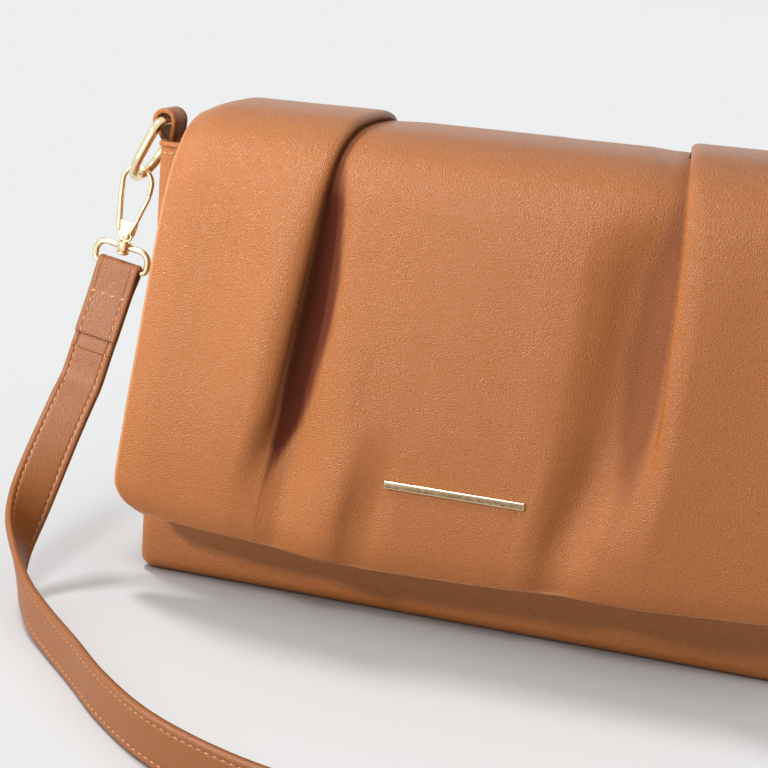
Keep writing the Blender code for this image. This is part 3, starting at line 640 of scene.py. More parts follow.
def strap_route():
    """The free strap's centre line, and its width and outward directions, from left to right."""
    start = STRAP_BAR + STRAP_DOWN * STRAP_END_REACH
    straight = start + STRAP_DOWN * STRAP_STRAIGHT
    points = np.array([start, straight, *(np.array(STRAP_ROUTE) * MM), mirror(straight), mirror(start)])
    padded = np.vstack([2 * points[0] - points[1], points, 2 * points[-1] - points[-2]])
    t = (np.arange(ROUTE_STEPS) / ROUTE_STEPS)[:, None]
    route = np.vstack([
        0.5 * (2 * b + (c - a) * t + (2 * a - 5 * b + 4 * c - d) * t ** 2 + (3 * b - a - 3 * c + d) * t ** 3)
        for a, b, c, d in zip(padded, padded[1:], padded[2:], padded[3:])
    ] + [points[-1:]])
    tangent = along(route)
    tangent[0], tangent[-1] = STRAP_DOWN, -mirror(STRAP_DOWN)
    index = np.arange(len(route))
    turned = STRAP_TURN_POINTS * ROUTE_STEPS
    from_start = eased(index / turned)[:, None]
    from_end = eased((len(route) - 1 - index) / turned)[:, None]
    width = UP * np.minimum(from_start, from_end)
    width = width - CLIP_U * (1 - from_start) - mirror(CLIP_U) * (1 - from_end)
    width = unit(width - tangent * (tangent * width).sum(axis=1, keepdims=True))
    return route, width, np.cross(tangent, width)


def strap_seams(centre, width, outward, seam, lift):
    """The seam lines of both faces along both edges."""
    return [
        (centre + width * seam * edge + outward * lift * face, outward * face)
        for edge in (-1, 1) for face in (-1, 1)
    ]


def strap_end_path(sizes):
    """The folded end seen from the side: (down, out, thickness) from the strap's start up round the bar and
    down to the cut edge, in millimetres."""
    reach = STRAP_END_REACH / MM
    thick = sizes.strap_thickness / MM
    down_back = [
        (reach, 0.0, thick), (33.5, 0.0, thick), (31.5, -0.12, 2.75), (29.0, -0.38, 2.2), (24.0, -0.42, 2.1),
        (16.0, -0.45, 2.1), (9.0, -0.7, 1.9), (5.0, -1.55, 1.7), (2.4, -2.1, 1.6),
    ]
    round_bar = [(*at, 1.55) for at in arc((0, 0), 2.22, 255, 105, 5)]
    down_front = [
        (2.4, 2.15, 1.55), (5.0, 1.95, 1.55), (9.0, 1.62, 1.55), (16.0, 1.42, 1.55), (24.0, 1.42, 1.55),
        (29.6, 1.45, 1.55), (30.6, 1.46, 1.45),
    ]
    return np.array(down_back + round_bar + down_front)


def make_strap_end(side, sizes):
    """The strap's end, folded round the loop's bar and sewn back on itself."""
    half = sizes.strap_width / 2
    path = strap_end_path(sizes)
    steps = np.linalg.norm(np.diff(path[:, :2], axis=0), axis=1)
    path = curve_through(path, [max(2, int(step / 0.7)) for step in steps])
    down, out, half_thick = path[:, 0], path[:, 1], path[:, 2:] / 2 * MM
    front = -unit(np.cross(STRAP_DOWN, -CLIP_U))
    front = front * np.sign(-front[1])
    centre = STRAP_BAR + STRAP_DOWN * path[:, :1] * MM + front * path[:, 1:2] * MM
    tangent = along(centre)
    tangent[0] = -STRAP_DOWN
    width = np.broadcast_to(CLIP_U, centre.shape)
    outward = unit(np.cross(tangent, width))
    profile = strap_profile(half, sizes.strap_thickness, sizes.strap_margin)
    grid = placed(ribbon(centre, width, outward, path[:, 2] * MM, profile), side)
    attach(make_tube(side + "_strap_fold", grid, strap_leather()), side + "_clip", "leather",
           side + "_strap_end")

    seam = half - sizes.strap_margin
    lift = half_thick - sizes.thread * 0.1
    on_front = (out > 0) & (down > FOLD_SEAM_TOP) & (down < FOLD_SEAM_FOOT)
    on_back = (out <= 0.01) & (down > FOLD_SEAM_TOP)
    back = np.sign((outward[on_back][0] * front).sum()) * outward
    lines = []
    for edge in (-1, 1):
        level = centre + width * seam * edge
        lines.append(((level - back * lift)[on_back], -back[on_back]))
        lines.append(((level + front * lift)[on_front], front))
    across = np.linspace(-seam, seam, 12)[:, None]
    top = np.argmin(np.abs(down - FOLD_SEAM_TOP - 0.3) + 100 * (out < 0))
    lines.append((centre[top] + front * lift[top] + CLIP_U * across, front))
    attach(make_stitches(side + "_strap_fold_stitches", placed_lines(lines, side)), side + "_clip", "leather")


def make_strap(sizes):
    """The free strap in pieces, which part below each clip and where it nears the floor; the run along the
    floor goes with the bag.
    """
    route, width, outward = strap_route()
    half = sizes.strap_width / 2
    profile = strap_profile(half, sizes.strap_thickness, sizes.strap_margin)
    grid = ribbon(route, width, outward, sizes.strap_thickness, profile)
    normals = grid_normals(grid)
    last = len(route) - 1
    hang, swing = HANG_POINTS * ROUTE_STEPS, SWING_POINTS * ROUTE_STEPS
    spans = {
        "left_strap_hang": (0, hang), "left_strap_swing": (hang, swing), "strap_run": (swing, last - swing),
        "right_strap_swing": (last - swing, last - hang), "right_strap_hang": (last - hang, last),
    }
    pieces, stitches = {}, {}
    for name, (low, high) in spans.items():
        part = slice(low, high + 1)
        pieces[name] = make_tube(name, grid[part], strap_leather(), normals[part])
        seams = strap_seams(route[part], width[part], outward[part], half - sizes.strap_margin,
                            sizes.strap_thickness * 0.34)
        stitches[name] = make_stitches(name + "_stitches", seams)
        # The run of strap goes with the bag, and the pieces nearer to the clips have their transforms baked
        # in.
        for piece in (pieces[name], stitches[name]):
            if name == "strap_run":
                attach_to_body(piece, "bag")
            elif name.endswith("swing"):
                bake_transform(piece)
            else:
                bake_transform(piece)
        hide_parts("strap")
    exits = {"left_strap_swing": hang, "strap_run": swing, "right_strap_swing": last - hang}
    for name, exit_at in exits.items():
        low, high = spans[name]
        line = route[low:high + 1]
        if exit_at == high:
            line = line[::-1]
        riders = [stitches[name]]
        if name != "strap_run":
            hanging = name.replace("swing", "hang")
            riders += [pieces[hanging], stitches[hanging]]


# The flap.
# Its outer face along the middle, (y, z) in millimetres, from the tail sewn to the back to the hem.
FLAP_LINE = [
    (31.8, 152), (31.6, 166), (31.4, 176), (30.6, 184), (26, 189), (18, 191), (5, 191.6), (-10, 191.4),
    (-22, 190), (-31, 186.5), (-38, 180.5), (-42.5, 171), (-45, 158), (-47, 140), (-49, 120), (-50.5, 100),
    (-51.8, 80), (-52.6, 60), (-53, 45), (-53, 34), (-52.8, 28),
]
FRONT_FOLD_POINT = 10
# Down the flap from the front fold: half its width and its thickness.
FLAP_HALF_WIDTHS = [
    (-105, 121), (-80, 122), (0, 122.5), (35, 127), (80, 132), (120, 137), (138, 139), (160, 139),
]
FLAP_THICKNESSES = [
    (-105, 2.5), (-85, 2.5), (-76, 3.4), (-66, 5), (-52, 8), (-35, 9.3), (120, 9.3), (160, 8.6),
]
# How far the side edges turn down, and over what width.
FLAP_EDGE_DROPS = [
    (-105, 0.4, 12), (-70, 2.2, 11), (-45, 4.0, 13), (-10, 4.0, 13), (20, 2.6, 14), (160, 2.2, 14),
]
FLAP_EDGE_THICKNESS = 4.2
# The rounded edge's points, in degrees from the outer face to the inner one.
EDGE_ANGLES = (22, 45, 67, 90, 112, 135, 158)
# The hem's height along X, and how far up the flap it is felt.
FLAP_HEM_LINE = [
    (-140, 31), (-122, 31), (-100, 29), (-82, 28), (-60, 26), (-34, 24.5), (12, 26), (44, 28), (74, 28),
    (120, 31), (140, 31),
]
HEM_BLEND = 50
FLAP_CORNER = 15.0
# The hem's rounding, its rows in degrees round it, and the turn from which it gets a pale painted highlight.
HEM_ROLL = 2.1
HEM_TURNS = (0, 18, 36, 54, 70, 82)
HEM_HIGHLIGHT_FROM = 31
# How far the outer face drops towards the hem, over how many millimetres, and over how many the inner face
# comes up to meet it.
HEM_DROP, HEM_DROP_REACH, HEM_RISE_REACH = 2.0, 13, 20
# Where the back pad ends and the front one starts, down from the front fold.
FLAP_SPLIT = -38.0
POINT_SPACING = 1.9

# Each pleat at places down the flap from the front fold: the lip's X, its height, how far it rolls over
# (0 to 1), and the valley beside it as (distance from the lip, height).
LEFT_PLEAT = [
    (-105, -51, 0.5, 0.2, [(0, 0.0), (10, 0)]),
    (-75, -52, 1.6, 0.7, [(0, -0.3), (10, 0)]),
    (-58, -53, 3.2, 1.0, [(0, -0.8), (6, -0.5), (15, 0)]),
    (-20, -55, 3.4, 1.0, [(0, -0.9), (6, -0.4), (15, 0)]),
    (0, -58, 3.6, 1.0, [(0, -1.2), (6, -0.5), (15, 0)]),
    (12, -60, 4.4, 1.0, [(0, -1.5), (6, -0.8), (15, 0)]),
    (31, -62.5, 6.2, 1.0, [(0, -3.0), (3, -4.2), (6, -3.8), (10, -1.4), (14, 0), (20, 0)]),
    (61, -66.5, 7.5, 1.0, [(0, -3.5), (4, -5.4), (8, -5.0), (12, -2.2), (16, 0), (22, 0.2)]),
    (91, -70.5, 6.8, 0.85, [(0, -3.5), (4, -5.4), (8, -4.4), (12, -1.6), (18, 0.6), (26, 1.4), (34, 0.2)]),
    (104, -71.5, 5.6, 0.5, [
        (0, -2.8), (4, -4.8), (9, -4.4), (15, -1.4), (22, 1.4), (30, 2.4), (38, 1.0), (44, 0)]),
    (116, -73.5, 3.8, 0.1, [
        (0, -1.0), (4, -3.6), (9, -4.2), (16, -1.2), (23, 2.4), (30, 3.8), (37, 2.0), (42, -1.0), (46, -0.6),
        (49, 0)]),
    (133, -77, 1.8, 0.0, [
        (0, 0), (5, -1.6), (10, -2.8), (17, 0.2), (25, 3.4), (32, 3.8), (38, 0.8), (43, -2.0), (46, -1.4),
        (50, 0.0)]),
    (160, -80, 0.4, 0.0, [(0, 0.1), (8, -0.6), (19, 0.8), (29, 1.8), (41, -1.0), (48, 0)]),
]
RIGHT_PLEAT = [
    (-105, 65, 0.5, 0.2, [(0, 0.0), (10, 0)]),
    (-75, 65, 1.6, 0.7, [(0, -0.3), (10, 0)]),
    (-58, 66, 3.0, 1.0, [(0, -0.8), (6, -0.8), (15, -0.2)]),
    (0, 70, 3.8, 1.0, [(0, -2.4), (4, -2.0), (12, -0.6), (20, 0)]),
    (14, 71, 4.4, 1.0, [(0, -3.8), (4, -4.2), (9, -3.8), (15, -2.4), (24, -0.6), (32, 0)]),
    (31, 71.5, 5.0, 1.0, [
        (0, -4.0), (4, -5.8), (9, -6.8), (14, -6.4), (19, -5.0), (25, -2.6), (32, -0.4), (40, 0.2)]),
    (61, 71.0, 4.8, 0.9, [
        (0, -4.2), (4, -5.8), (9, -6.9), (14, -6.9), (20, -5.4), (26, -2.6), (33, -0.2), (40, 0.3)]),
    (86, 69.5, 3.6, 0.5, [
        (0, -2.8), (4, -4.6), (9, -6.2), (14, -6.4), (20, -5.4), (27, -2.6), (34, -0.2), (40, 0.2)]),
    (111, 66, 3.0, 0.1, [
        (0, -0.4), (5, -1.6), (10, -4.2), (15, -6.2), (20, -5.8), (26, -2.6), (32, 0.2), (38, 0.2)]),
    (133, 61, 2.2, 0.0, [
        (0, 1.6), (6, 1.0), (12, -1.8), (17, -4.0), (22, -3.6), (28, -0.4), (33, 0.6), (40, 0.1)]),
    (160, 58, 0.6, 0.0, [(0, 0.4), (10, 0), (17, -1.2), (24, -0.8), (32, 0.1)]),
]
VALLEY_PLACES = (1.3, 3.0, 5.5, 8.5, 12.0, 15.5, 19.0, 23.0, 27.5, 32.5, 38.5, 46.0)
LIP_ANGLES = (0, 20, 40, 60, 80, 105, 130, 150)
# The rolled lip's radius as a share of its fall, and how much wider than high its top half is.
ROLL_RADIUS = 0.47
ROLL_SPREAD = 1.9
# Where a lip that doesn't roll over starts to slope down, where it stops, and over what width.
SLOPE_START, SLOPE_END, SLOPE_WIDTH = 12.0, 0.3, 14.5
# How far from such a lip the padding's own points stop, and where they lie from the side edge to there.
PLAIN_REACH = 13.5
PILLOW_SHARES = (0, 0.03, 0.07, 0.13, 0.2, 0.3, 0.42, 0.55, 0.68, 0.8, 0.9, 0.96)
# The points between the two valleys, as shares of the way from the left one to the right one.
MIDDLE_SHARES = (0.12, 0.3, 0.5, 0.7, 0.88)
# How many rows each way the pleats are smoothed over.
PLEAT_SMOOTHING = 4
# How wide the deepest part of each pleat is, where painted shade darkens it, down the flap.
PAINTED_SHADE_WIDTHS = {
    "left": [(-30, 0.5), (0, 3), (15, 7), (45, 12), (64, 13), (90, 11), (104, 8), (118, 3), (130, 0)],
    "right": [(-30, 0.5), (0, 2), (14, 6), (31, 11), (61, 14), (90, 11), (118, 2)],
}
# How dark the painted shade in each pleat's inside grows, and over how many millimetres it fades out.
PAINTED_SHADE_STRENGTHS = {"left": (1.0, 3.0), "right": (0.56, 9.0)}
# How far below the lip's height a point starts to get the crease's painted shade, and over how many
# millimetres it comes in.
PAINTED_SHADE_FALL = (2.5, 4.0)
# How far from the lip the padding keeps the lip's height, and over how many millimetres it loses it.
PILLOW_HOLD, PILLOW_FADE = 5, 22
# The slow ripples over the padding.
RIPPLE_HEIGHT = 0.35
# How high the padding stands away from the lips, down the flap.
PILLOW_LEVELS = [
    (-105, 0.2), (-70, 1.4), (-55, 3.0), (-10, 3.0), (15, 2.4), (60, 1.6), (130, 0.9), (160, 0.4),
]
# The flap's leather facings: how far in from its edges they lie and from theirs they are sewn, how thick they
# are, how far they sink into the flap, where the back one starts, its corners and its points across.
FACING_INSET = 8.0
FACING_SEAM = 2.2
FACING_THICKNESS = 1.0
FACING_SINK = 0.15
FACING_TAIL = -64.0
FACING_CORNER = 10
FACING_POINTS = 60


def softened(values, rows_each_way):
    """The values with each one averaged with its neighbours down the rows."""
    reach = np.arange(-3 * rows_each_way, 3 * rows_each_way + 1)
    weights = np.exp(-(reach / rows_each_way) ** 2)
    weights /= weights.sum()
    padded = np.pad(values, [(len(reach) // 2,) * 2] + [(0, 0)] * (values.ndim - 1), mode="edge")
    return sum(w * padded[k:k + len(values)] for k, w in enumerate(weights))


def table_at(table, place, column=1):
    return np.interp(place, [row[0] for row in table], [row[column] for row in table])


def edge_drops(down):
    """How far the side edges turn down at each place down the flap, and over what width, as columns."""
    return table_at(FLAP_EDGE_DROPS, down)[:, None], table_at(FLAP_EDGE_DROPS, down, 2)[:, None]


def corner_cut(radius, past):
    """How much narrower a rounded corner makes a row that is that far past the corner's start."""
    return radius - np.sqrt(radius ** 2 - past ** 2)


def near_side(from_edge, drop_width):
    """How much the inner face turns down at that distance from the side edge, 0 to 1."""
    return np.clip(1 - from_edge / (drop_width * 1.2), 0, 1) ** 2


class FlapShape:
    """The flap as distances along X, down its outer line and out from it, in millimetres."""

    def __init__(self):
        line = even_curve(FLAP_LINE, 0.8)
        steps = np.linalg.norm(np.diff(line, axis=0), axis=1)
        fold = np.linalg.norm(line - FLAP_LINE[FRONT_FOLD_POINT], axis=1).argmin()
        reach = np.concatenate([[0], np.cumsum(steps)])
        self.line, self.reach = line, reach - reach[fold]
        tangent = softened(unit(np.gradient(line, axis=0)), 3)
        self.normal = unit(np.stack([tangent[:, 1], -tangent[:, 0]], axis=1))
        self.tail, self.hem = self.reach[0], self.reach[-1]

    def place(self, x, down, out):
        """Points in metres; past the hem the line goes straight on."""
        inside = np.clip(down, self.tail, self.hem)
        y, z = (np.interp(inside, self.reach, self.line[:, k]) for k in (0, 1))
        ny, nz = (np.interp(inside, self.reach, self.normal[:, k]) for k in (0, 1))
        past = down - inside
        return np.stack([x, y + ny * out + past * 0.08, z + nz * out - past], axis=-1) * MM

    def hem_shift(self, x, down):
        """How far a point moves down so that the hem follows its own line."""
        shift = self.line[-1, 1] - np.interp(x, *zip(*FLAP_HEM_LINE))
        return shift * eased((down - (self.hem - HEM_BLEND)) / HEM_BLEND)


def pleat(table, down):
    """The lip's X, its height and roll, and the crease's and the valley's heights, down the rows."""
    places = np.array([0.0, *VALLEY_PLACES])
    valley = np.array([np.interp(places, *zip(*row[4])) for row in table])
    columns = [table_at(table, down, k) for k in (1, 2, 3)]
    stations = [row[0] for row in table]
    columns += [np.interp(down, stations, valley[:, k]) for k in range(len(places))]
    columns = softened(np.stack(columns, axis=1), PLEAT_SMOOTHING)
    return columns[:, 0], columns[:, 1], columns[:, 2], columns[:, 3], columns[:, 4:]


def lip_across(height, roll, crease):
    """A lip across, from the top of its roll to the crease under it: (distance past the lip, height)."""
    fall = (height - crease)[:, None]
    radius = ROLL_RADIUS * fall
    angles = np.radians(LIP_ANGLES)
    reach = radius * np.where(angles <= math.pi / 2, ROLL_SPREAD, 0.85)
    rolled = np.stack([
        np.concatenate([reach * (np.sin(angles) - 1), -0.75 * radius - 0.3, -0.3 * radius], axis=1),
        np.concatenate([height[:, None] + radius * (np.cos(angles) - 1), crease[:, None] + 0.05 * fall,
                        crease[:, None]], axis=1),
    ], axis=2)
    past = np.linspace(-SLOPE_START, SLOPE_END, len(LIP_ANGLES) + 2)
    sloped = height[:, None] - fall * eased((past + SLOPE_START) / SLOPE_WIDTH)
    soft = np.stack([np.broadcast_to(past, sloped.shape), sloped], axis=2)
    return soft + (rolled - soft) * roll[:, None, None]


class FlapRows:
    """What each row across the flap measures, as columns of numbers down the flap, in millimetres: the place
    down, the turn round the hem in radians, the thickness, the edges and how far they turn down."""

    def __init__(self, shape):
        places = np.arange(shape.tail, shape.hem - HEM_ROLL, POINT_SPACING)
        self.shape = shape
        self.down = np.concatenate([places, np.full(len(HEM_TURNS), shape.hem - HEM_ROLL)])
        self.turn = np.concatenate([np.zeros(len(places)), np.radians(HEM_TURNS)])[:, None]
        to_hem = (shape.hem - self.down)[:, None]
        into_corner = FLAP_CORNER - (to_hem - HEM_ROLL * np.sin(self.turn))
        half = table_at(FLAP_HALF_WIDTHS, self.down)[:, None]
        half = half - corner_cut(FLAP_CORNER, np.clip(into_corner, 0, FLAP_CORNER - 0.2))
        self.drop, self.drop_width = edge_drops(self.down)
        self.hem_drop = HEM_DROP * np.clip(1 - to_hem / HEM_DROP_REACH, 0, 1) ** 2
        self.near_hem = np.clip(1 - to_hem / HEM_RISE_REACH, 0, 1) ** 2
        self.thickness = table_at(FLAP_THICKNESSES, self.down)[:, None]
        self.edge = np.minimum(FLAP_EDGE_THICKNESS, self.thickness)
        self.rim = self.edge / 2 * np.cos(self.turn)
        self.end = half - self.rim


def pleated_half(rows, table, side):
    """One side of the outer face, from its edge to the far side of its pleat: (x, height) down the rows, with
    the lip's X and height."""
    lip_x, height, roll, crease, valley = pleat(table, rows.down)
    lip_column = lip_x[:, None]
    roll_reach = ROLL_RADIUS * (height - crease) * ROLL_SPREAD + 1.2
    start = lip_x + side * (PLAIN_REACH + (roll_reach - PLAIN_REACH) * roll)
    x = side * rows.end + (start[:, None] - side * rows.end) * np.array(PILLOW_SHARES)
    away = np.maximum(np.abs(x - lip_column) - PILLOW_HOLD, 0)
    level = table_at(PILLOW_LEVELS, rows.down)[:, None]
    pillow = level + (height[:, None] - level) * np.exp(-(away / PILLOW_FADE) ** 2)
    lip = lip_across(height, roll, crease)
    lip[..., 0] = lip_column - side * lip[..., 0]
    hollow_x = lip_column - side * np.broadcast_to(VALLEY_PLACES, valley.shape)
    half = np.concatenate([np.stack([x, pillow], axis=2), lip, np.stack([hollow_x, valley], axis=2)], axis=1)
    return half, (side, lip_column, height[:, None])


def flap_face(rows):
    """The outer face of each row as (x, out), and where each pleat's lip is."""
    left, left_lip = pleated_half(rows, LEFT_PLEAT, -1)
    right, right_lip = pleated_half(rows, RIGHT_PLEAT, 1)
    share_over = np.array(MIDDLE_SHARES)
    x = left[:, -1:, 0] + (right[:, -1:, 0] - left[:, -1:, 0]) * share_over
    level = left[:, -1:, 1] * (1 - share_over) + right[:, -1:, 1] * share_over
    control = np.concatenate([left, np.stack([x, level * 0.3], axis=2), right[:, ::-1]], axis=1)
    typical = np.linalg.norm(np.diff(control, axis=1), axis=2).mean(axis=0)
    face = curve_through(control, [max(1, math.ceil(step / POINT_SPACING)) for step in typical])
    x, out, down = face[..., 0], face[..., 1], rows.down[:, None]
    out -= rows.drop * np.clip(1 - (rows.end - np.abs(x)) / rows.drop_width, 0, 1) ** 2 + rows.hem_drop
    ripple = np.sin(x / 17 + 1.3 * np.sin(down / 31)) * np.sin(down / 23 + 0.8)
    out += RIPPLE_HEIGHT * ripple * np.clip((down + 20) / 60, 0, 1)
    return face, {"left": left_lip, "right": right_lip}


def painted_crease_shade(x, out, down, lips):
    """How much painted shade each point of the outer face gets for lying deep in a pleat, 0 to 1."""
    # Painted shade in the deep troughs near the middle of the flap, and below in the lips' creases.
    depth = 0.25 * np.clip((-out - 2.0) / 5, 0, 1) * (np.abs(x) < 75)
    for name, (side, lip_x, height) in lips.items():
        past = -side * (x - lip_x)
        fallen = np.clip((height - out - PAINTED_SHADE_FALL[0]) / PAINTED_SHADE_FALL[1], 0, 1)
        width = np.interp(down, *zip(*PAINTED_SHADE_WIDTHS[name]))[:, None]
        strength, fade = PAINTED_SHADE_STRENGTHS[name]
        inside = eased((past + 1.5) / 2) * (1 - eased((past - width + fade / 3) / fade))
        depth = np.maximum(depth, strength * fallen * inside)
    return depth


def flap_grid(rows):
    """The padded flap's closed loops of points, row by row from the tail to the hem, how many points of each
    are its outer face, and how much painted shade and painted highlight each point gets."""
    face, lips = flap_face(rows)
    count = face.shape[1]
    under_x = np.linspace(1, -1, count) * rows.end
    near_edge = near_side(rows.end - np.abs(under_x), rows.drop_width)
    under = -rows.thickness + (rows.thickness - rows.drop - rows.edge - rows.hem_drop) * near_edge
    under = under + (-rows.hem_drop - rows.edge - rows.drop * near_edge - under) * rows.near_hem
    angles = np.radians(EDGE_ANGLES)

    def round_edge(side, top, low, order):
        return np.stack([
            side * (rows.end + rows.rim * np.sin(order)), (top + low) / 2 + (top - low) / 2 * np.cos(order),
        ], axis=2)

    loops = np.concatenate([
        face, round_edge(1, face[:, -1:, 1], under[:, :1], angles), np.stack([under_x, under], axis=2),
        round_edge(-1, face[:, :1, 1], under[:, -1:], angles[::-1]),
    ], axis=1)
    x, out = loops[..., 0], loops[..., 1]
    middle = -(rows.hem_drop + rows.edge / 2)
    out = middle + (out - middle) * np.cos(rows.turn)
    place = rows.down[:, None] + HEM_ROLL * np.sin(rows.turn) + 0 * x
    place = place + rows.shape.hem_shift(x, place)
    painted_shade, edges = np.zeros(x.shape), np.zeros(x.shape)
    painted_shade[:, :count] = painted_crease_shade(face[..., 0], face[..., 1], rows.down, lips)
    # Painted highlight: the rounded side edges and the hem's turned rows are marked to be painted pale.
    edges[:, count:count + len(angles)] = edges[:, -len(angles):] = 1
    edges[rows.turn[:, 0] > math.radians(HEM_HIGHLIGHT_FROM)] = 1
    return rows.shape.place(x, place, out), count, painted_shade, edges


def make_flap():
    rows = FlapRows(FlapShape())
    points, count, painted_shade, edges = flap_grid(rows)
    normals = grid_normals(points)
    tail_lines = []
    for row in (2, 4):
        facing = normals[row, 5:count - 5]
        tail_lines.append((points[row, 5:count - 5], facing * np.sign(facing[:, 1:2])))
    attach(make_stitches("flap_tail_stitches", tail_lines), "bag", "leather")
    split = int(np.searchsorted(rows.down, FLAP_SPLIT))
    for name, part in (("flap_back_pad", slice(0, split + 1)), ("flap_front_pad", slice(split, len(points)))):
        loops = points[part]
        faces = flat_faces(loops, count, len(EDGE_ANGLES))
        piece = make_piece(name, loops, faces, leather_material(), normals[part])
        # The pleats' painted shade and the edges' painted highlight go onto each pad as attributes.
        for mark, values in (("crease", painted_shade), ("painted_edge_highlight", edges)):
            piece.data.attributes.new(mark, "FLOAT", "POINT").data.foreach_set("value", values[part].ravel())
        bend_with_flap(piece, name == "flap_back_pad")
    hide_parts("flap_root", "flap_top_leather", "flap_top_padding", "flap_top_lining")
    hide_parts("flap_front_leather", "flap_front_padding", "flap_front_lining")


# The flap's lining.
def make_facing(name, shape, first, last, at_back):
    """A thin leather facing sewn inside the flap between two places down it. The front one has round corners
    and a seam along the hem."""
    down = np.linspace(first, last, max(3, int((last - first) / 3)))
    half = table_at(FLAP_HALF_WIDTHS, down) - FACING_INSET
    if not at_back:
        half = half - corner_cut(FACING_CORNER, np.clip(FACING_CORNER - (last - down), 0, FACING_CORNER))
    drop, drop_width = edge_drops(down)
    x = np.linspace(-1, 1, FACING_POINTS) * half[:, None]
    near = near_side(half[:, None] + FACING_INSET - np.abs(x), drop_width)
    level = -table_at(FLAP_THICKNESSES, down)[:, None]
    top = level + (-(drop + FLAP_EDGE_THICKNESS) - level) * near + FACING_SINK
    low = top - FACING_THICKNESS - FACING_SINK
    place = down[:, None] + shape.hem_shift(x, down[:, None] + 0 * x)
    middle = (top + low) / 2
    loops = np.concatenate([
        shape.place(x, place, top), shape.place(x[:, -1:] + 0.3, place[:, -1:], middle[:, -1:]),
        shape.place(x[:, ::-1], place[:, ::-1], low[:, ::-1]),
        shape.place(x[:, :1] - 0.3, place[:, :1], middle[:, :1]),
    ], axis=1)
    surface = leather_material("smooth_facing", 0.8, 0.5, 0.5)
    piece = make_piece(name, loops, flat_faces(loops, FACING_POINTS, 1), surface)

    def seam(xs, place, shift, level):
        """A seam line just inside the facing, with the way it faces."""
        facing = shape.place(xs, place, level - 1.0) - shape.place(xs, place, level)
        return shape.place(xs, place + shift, level - 0.1), unit(facing)

    lines = []
    for side in (1, -1):
        xs = side * (half - FACING_SEAM)
        level = np.array([np.interp(a, b, c) for a, b, c in zip(xs, x, low)])
        lines.append(seam(xs, down, shape.hem_shift(xs, down), level))
    if not at_back:
        row = len(down) - 2
        xs = np.linspace(-half[row] + 3, half[row] - 3, 80)
        across = np.full(80, down[row] + 0.6)
        across += shape.hem_shift(xs, across)
        lines.append(seam(xs, across, 0, np.interp(xs, x[row], low[row])))
    stitches = make_stitches(name + "_stitches", lines)
    for part in (piece, stitches):
        bend_with_flap(part, at_back)


def make_flap_lining():
    shape = FlapShape()
    make_facing("flap_back_facing", shape, FACING_TAIL, FLAP_SPLIT, True)
    make_facing("flap_front_facing", shape, FLAP_SPLIT, shape.hem - FACING_INSET - 1, False)


# The body.
CORNER_RADIUS = 5.0
CORNER_STEPS = 7
PANEL_STEPS = 64
GUSSET_STEPS = 18
# The body's section stays as it is above this height.
SECTION_TOP = 178
FOOT_RADIUS = 6.5
# How far each loop under the body and on the floor inside it is drawn in.
BASE_SHARES = (0.03, 0.3, 0.7, 0.92)
FLOOR_SHARES = (0.9, 0.6, 0.3, 0.03)
# How far the rim's seam lies under the rim, and its turned edge as (level from the rim, how far inwards).
RIM_SEAM = 4.4
RIM_EDGE = [
    (-3.0, 0.0), (-2.5, 0.18), (-2.3, -0.1), (-2.1, -0.55), (-1.4, -0.75), (-0.7, -0.6), (-0.2, -0.1),
    (0, 0.7), (-0.1, 1.4), (-0.5, 1.9), (-1.4, 2.1), (-6, 2.2),
]


def half_depth(height):
    """Half the body's depth at a height, in millimetres."""
    return -PANEL_LOW.y / MM - 5.0 * height / RIM


def gusset_sink(share_up, t):
    """How far the gusset falls in at a share of the height, t being -1 to 1 from front to back."""
    return (1.6 + 3.2 * eased((share_up - 0.25) / 0.75)) * (1 - t * t) ** 1.5


def body_loop(height, inwards):
    """The body across at a height, that far inside its outer face: (x, y) in millimetres, starting at the
    middle of the left gusset and going round the front."""
    half_x = PANEL_HIGH.x / MM - inwards
    half_y = half_depth(height) - inwards
    radius = max(1.0, CORNER_RADIUS - 0.7 * inwards)
    share_up = height / RIM
    front = np.linspace(-1, 1, PANEL_STEPS + 1)
    side = np.linspace(-1, 1, GUSSET_STEPS + 1)
    turns = np.radians(np.linspace(0, 90, CORNER_STEPS + 1))[1:-1]
    run_x, run_y = half_x - radius, half_y - radius
    swell = 1.1 * math.sin(math.pi * min(1, share_up * 1.05)) ** 0.8
    left = [(-half_x + gusset_sink(share_up, t), run_y * t) for t in side[::-1]]
    middle = GUSSET_STEPS // 2
    points = left[middle:]
    points += [(-run_x - radius * math.cos(a), -run_y - radius * math.sin(a)) for a in turns]
    points += [(run_x * t, -half_y - swell * (1 - t * t)) for t in front]
    points += [(run_x + radius * math.sin(a), -run_y - radius * math.cos(a)) for a in turns]
    points += [(half_x - gusset_sink(share_up, t), run_y * t) for t in side]
    points += [(run_x + radius * math.cos(a), run_y + radius * math.sin(a)) for a in turns]
    points += [(-run_x * t, half_y + 0.25 * swell * (1 - t * t)) for t in front]
    points += [(-run_x - radius * math.sin(a), run_y + radius * math.cos(a)) for a in turns]
    return np.array(points + left[:middle])


def body_rows(levels):
    """Loops of the body at each (height, how far inwards), in metres."""
    rows = []
    for height, inwards in levels:
        loop = body_loop(min(max(height, 0), SECTION_TOP), inwards)
        rows.append(np.column_stack([loop, np.full(len(loop), height)]))
    return np.array(rows) * MM


def round_seam(height, inwards):
    """A seam line round the body at a height, with the way it faces outwards."""
    loop = body_rows([(height, inwards)])[0]
    facing = unit(np.cross(np.roll(loop, -1, axis=0) - np.roll(loop, 1, axis=0), UP))
    return np.vstack([loop, loop[:1]]), np.vstack([facing, facing[:1]])


def drawn_in(loop, height, shares):
    """The same loop drawn in towards its middle by each share, at another height."""
    level = np.full(len(loop), height * MM)
    return [np.column_stack([loop[:, :2] * share, level]) for share in shares]


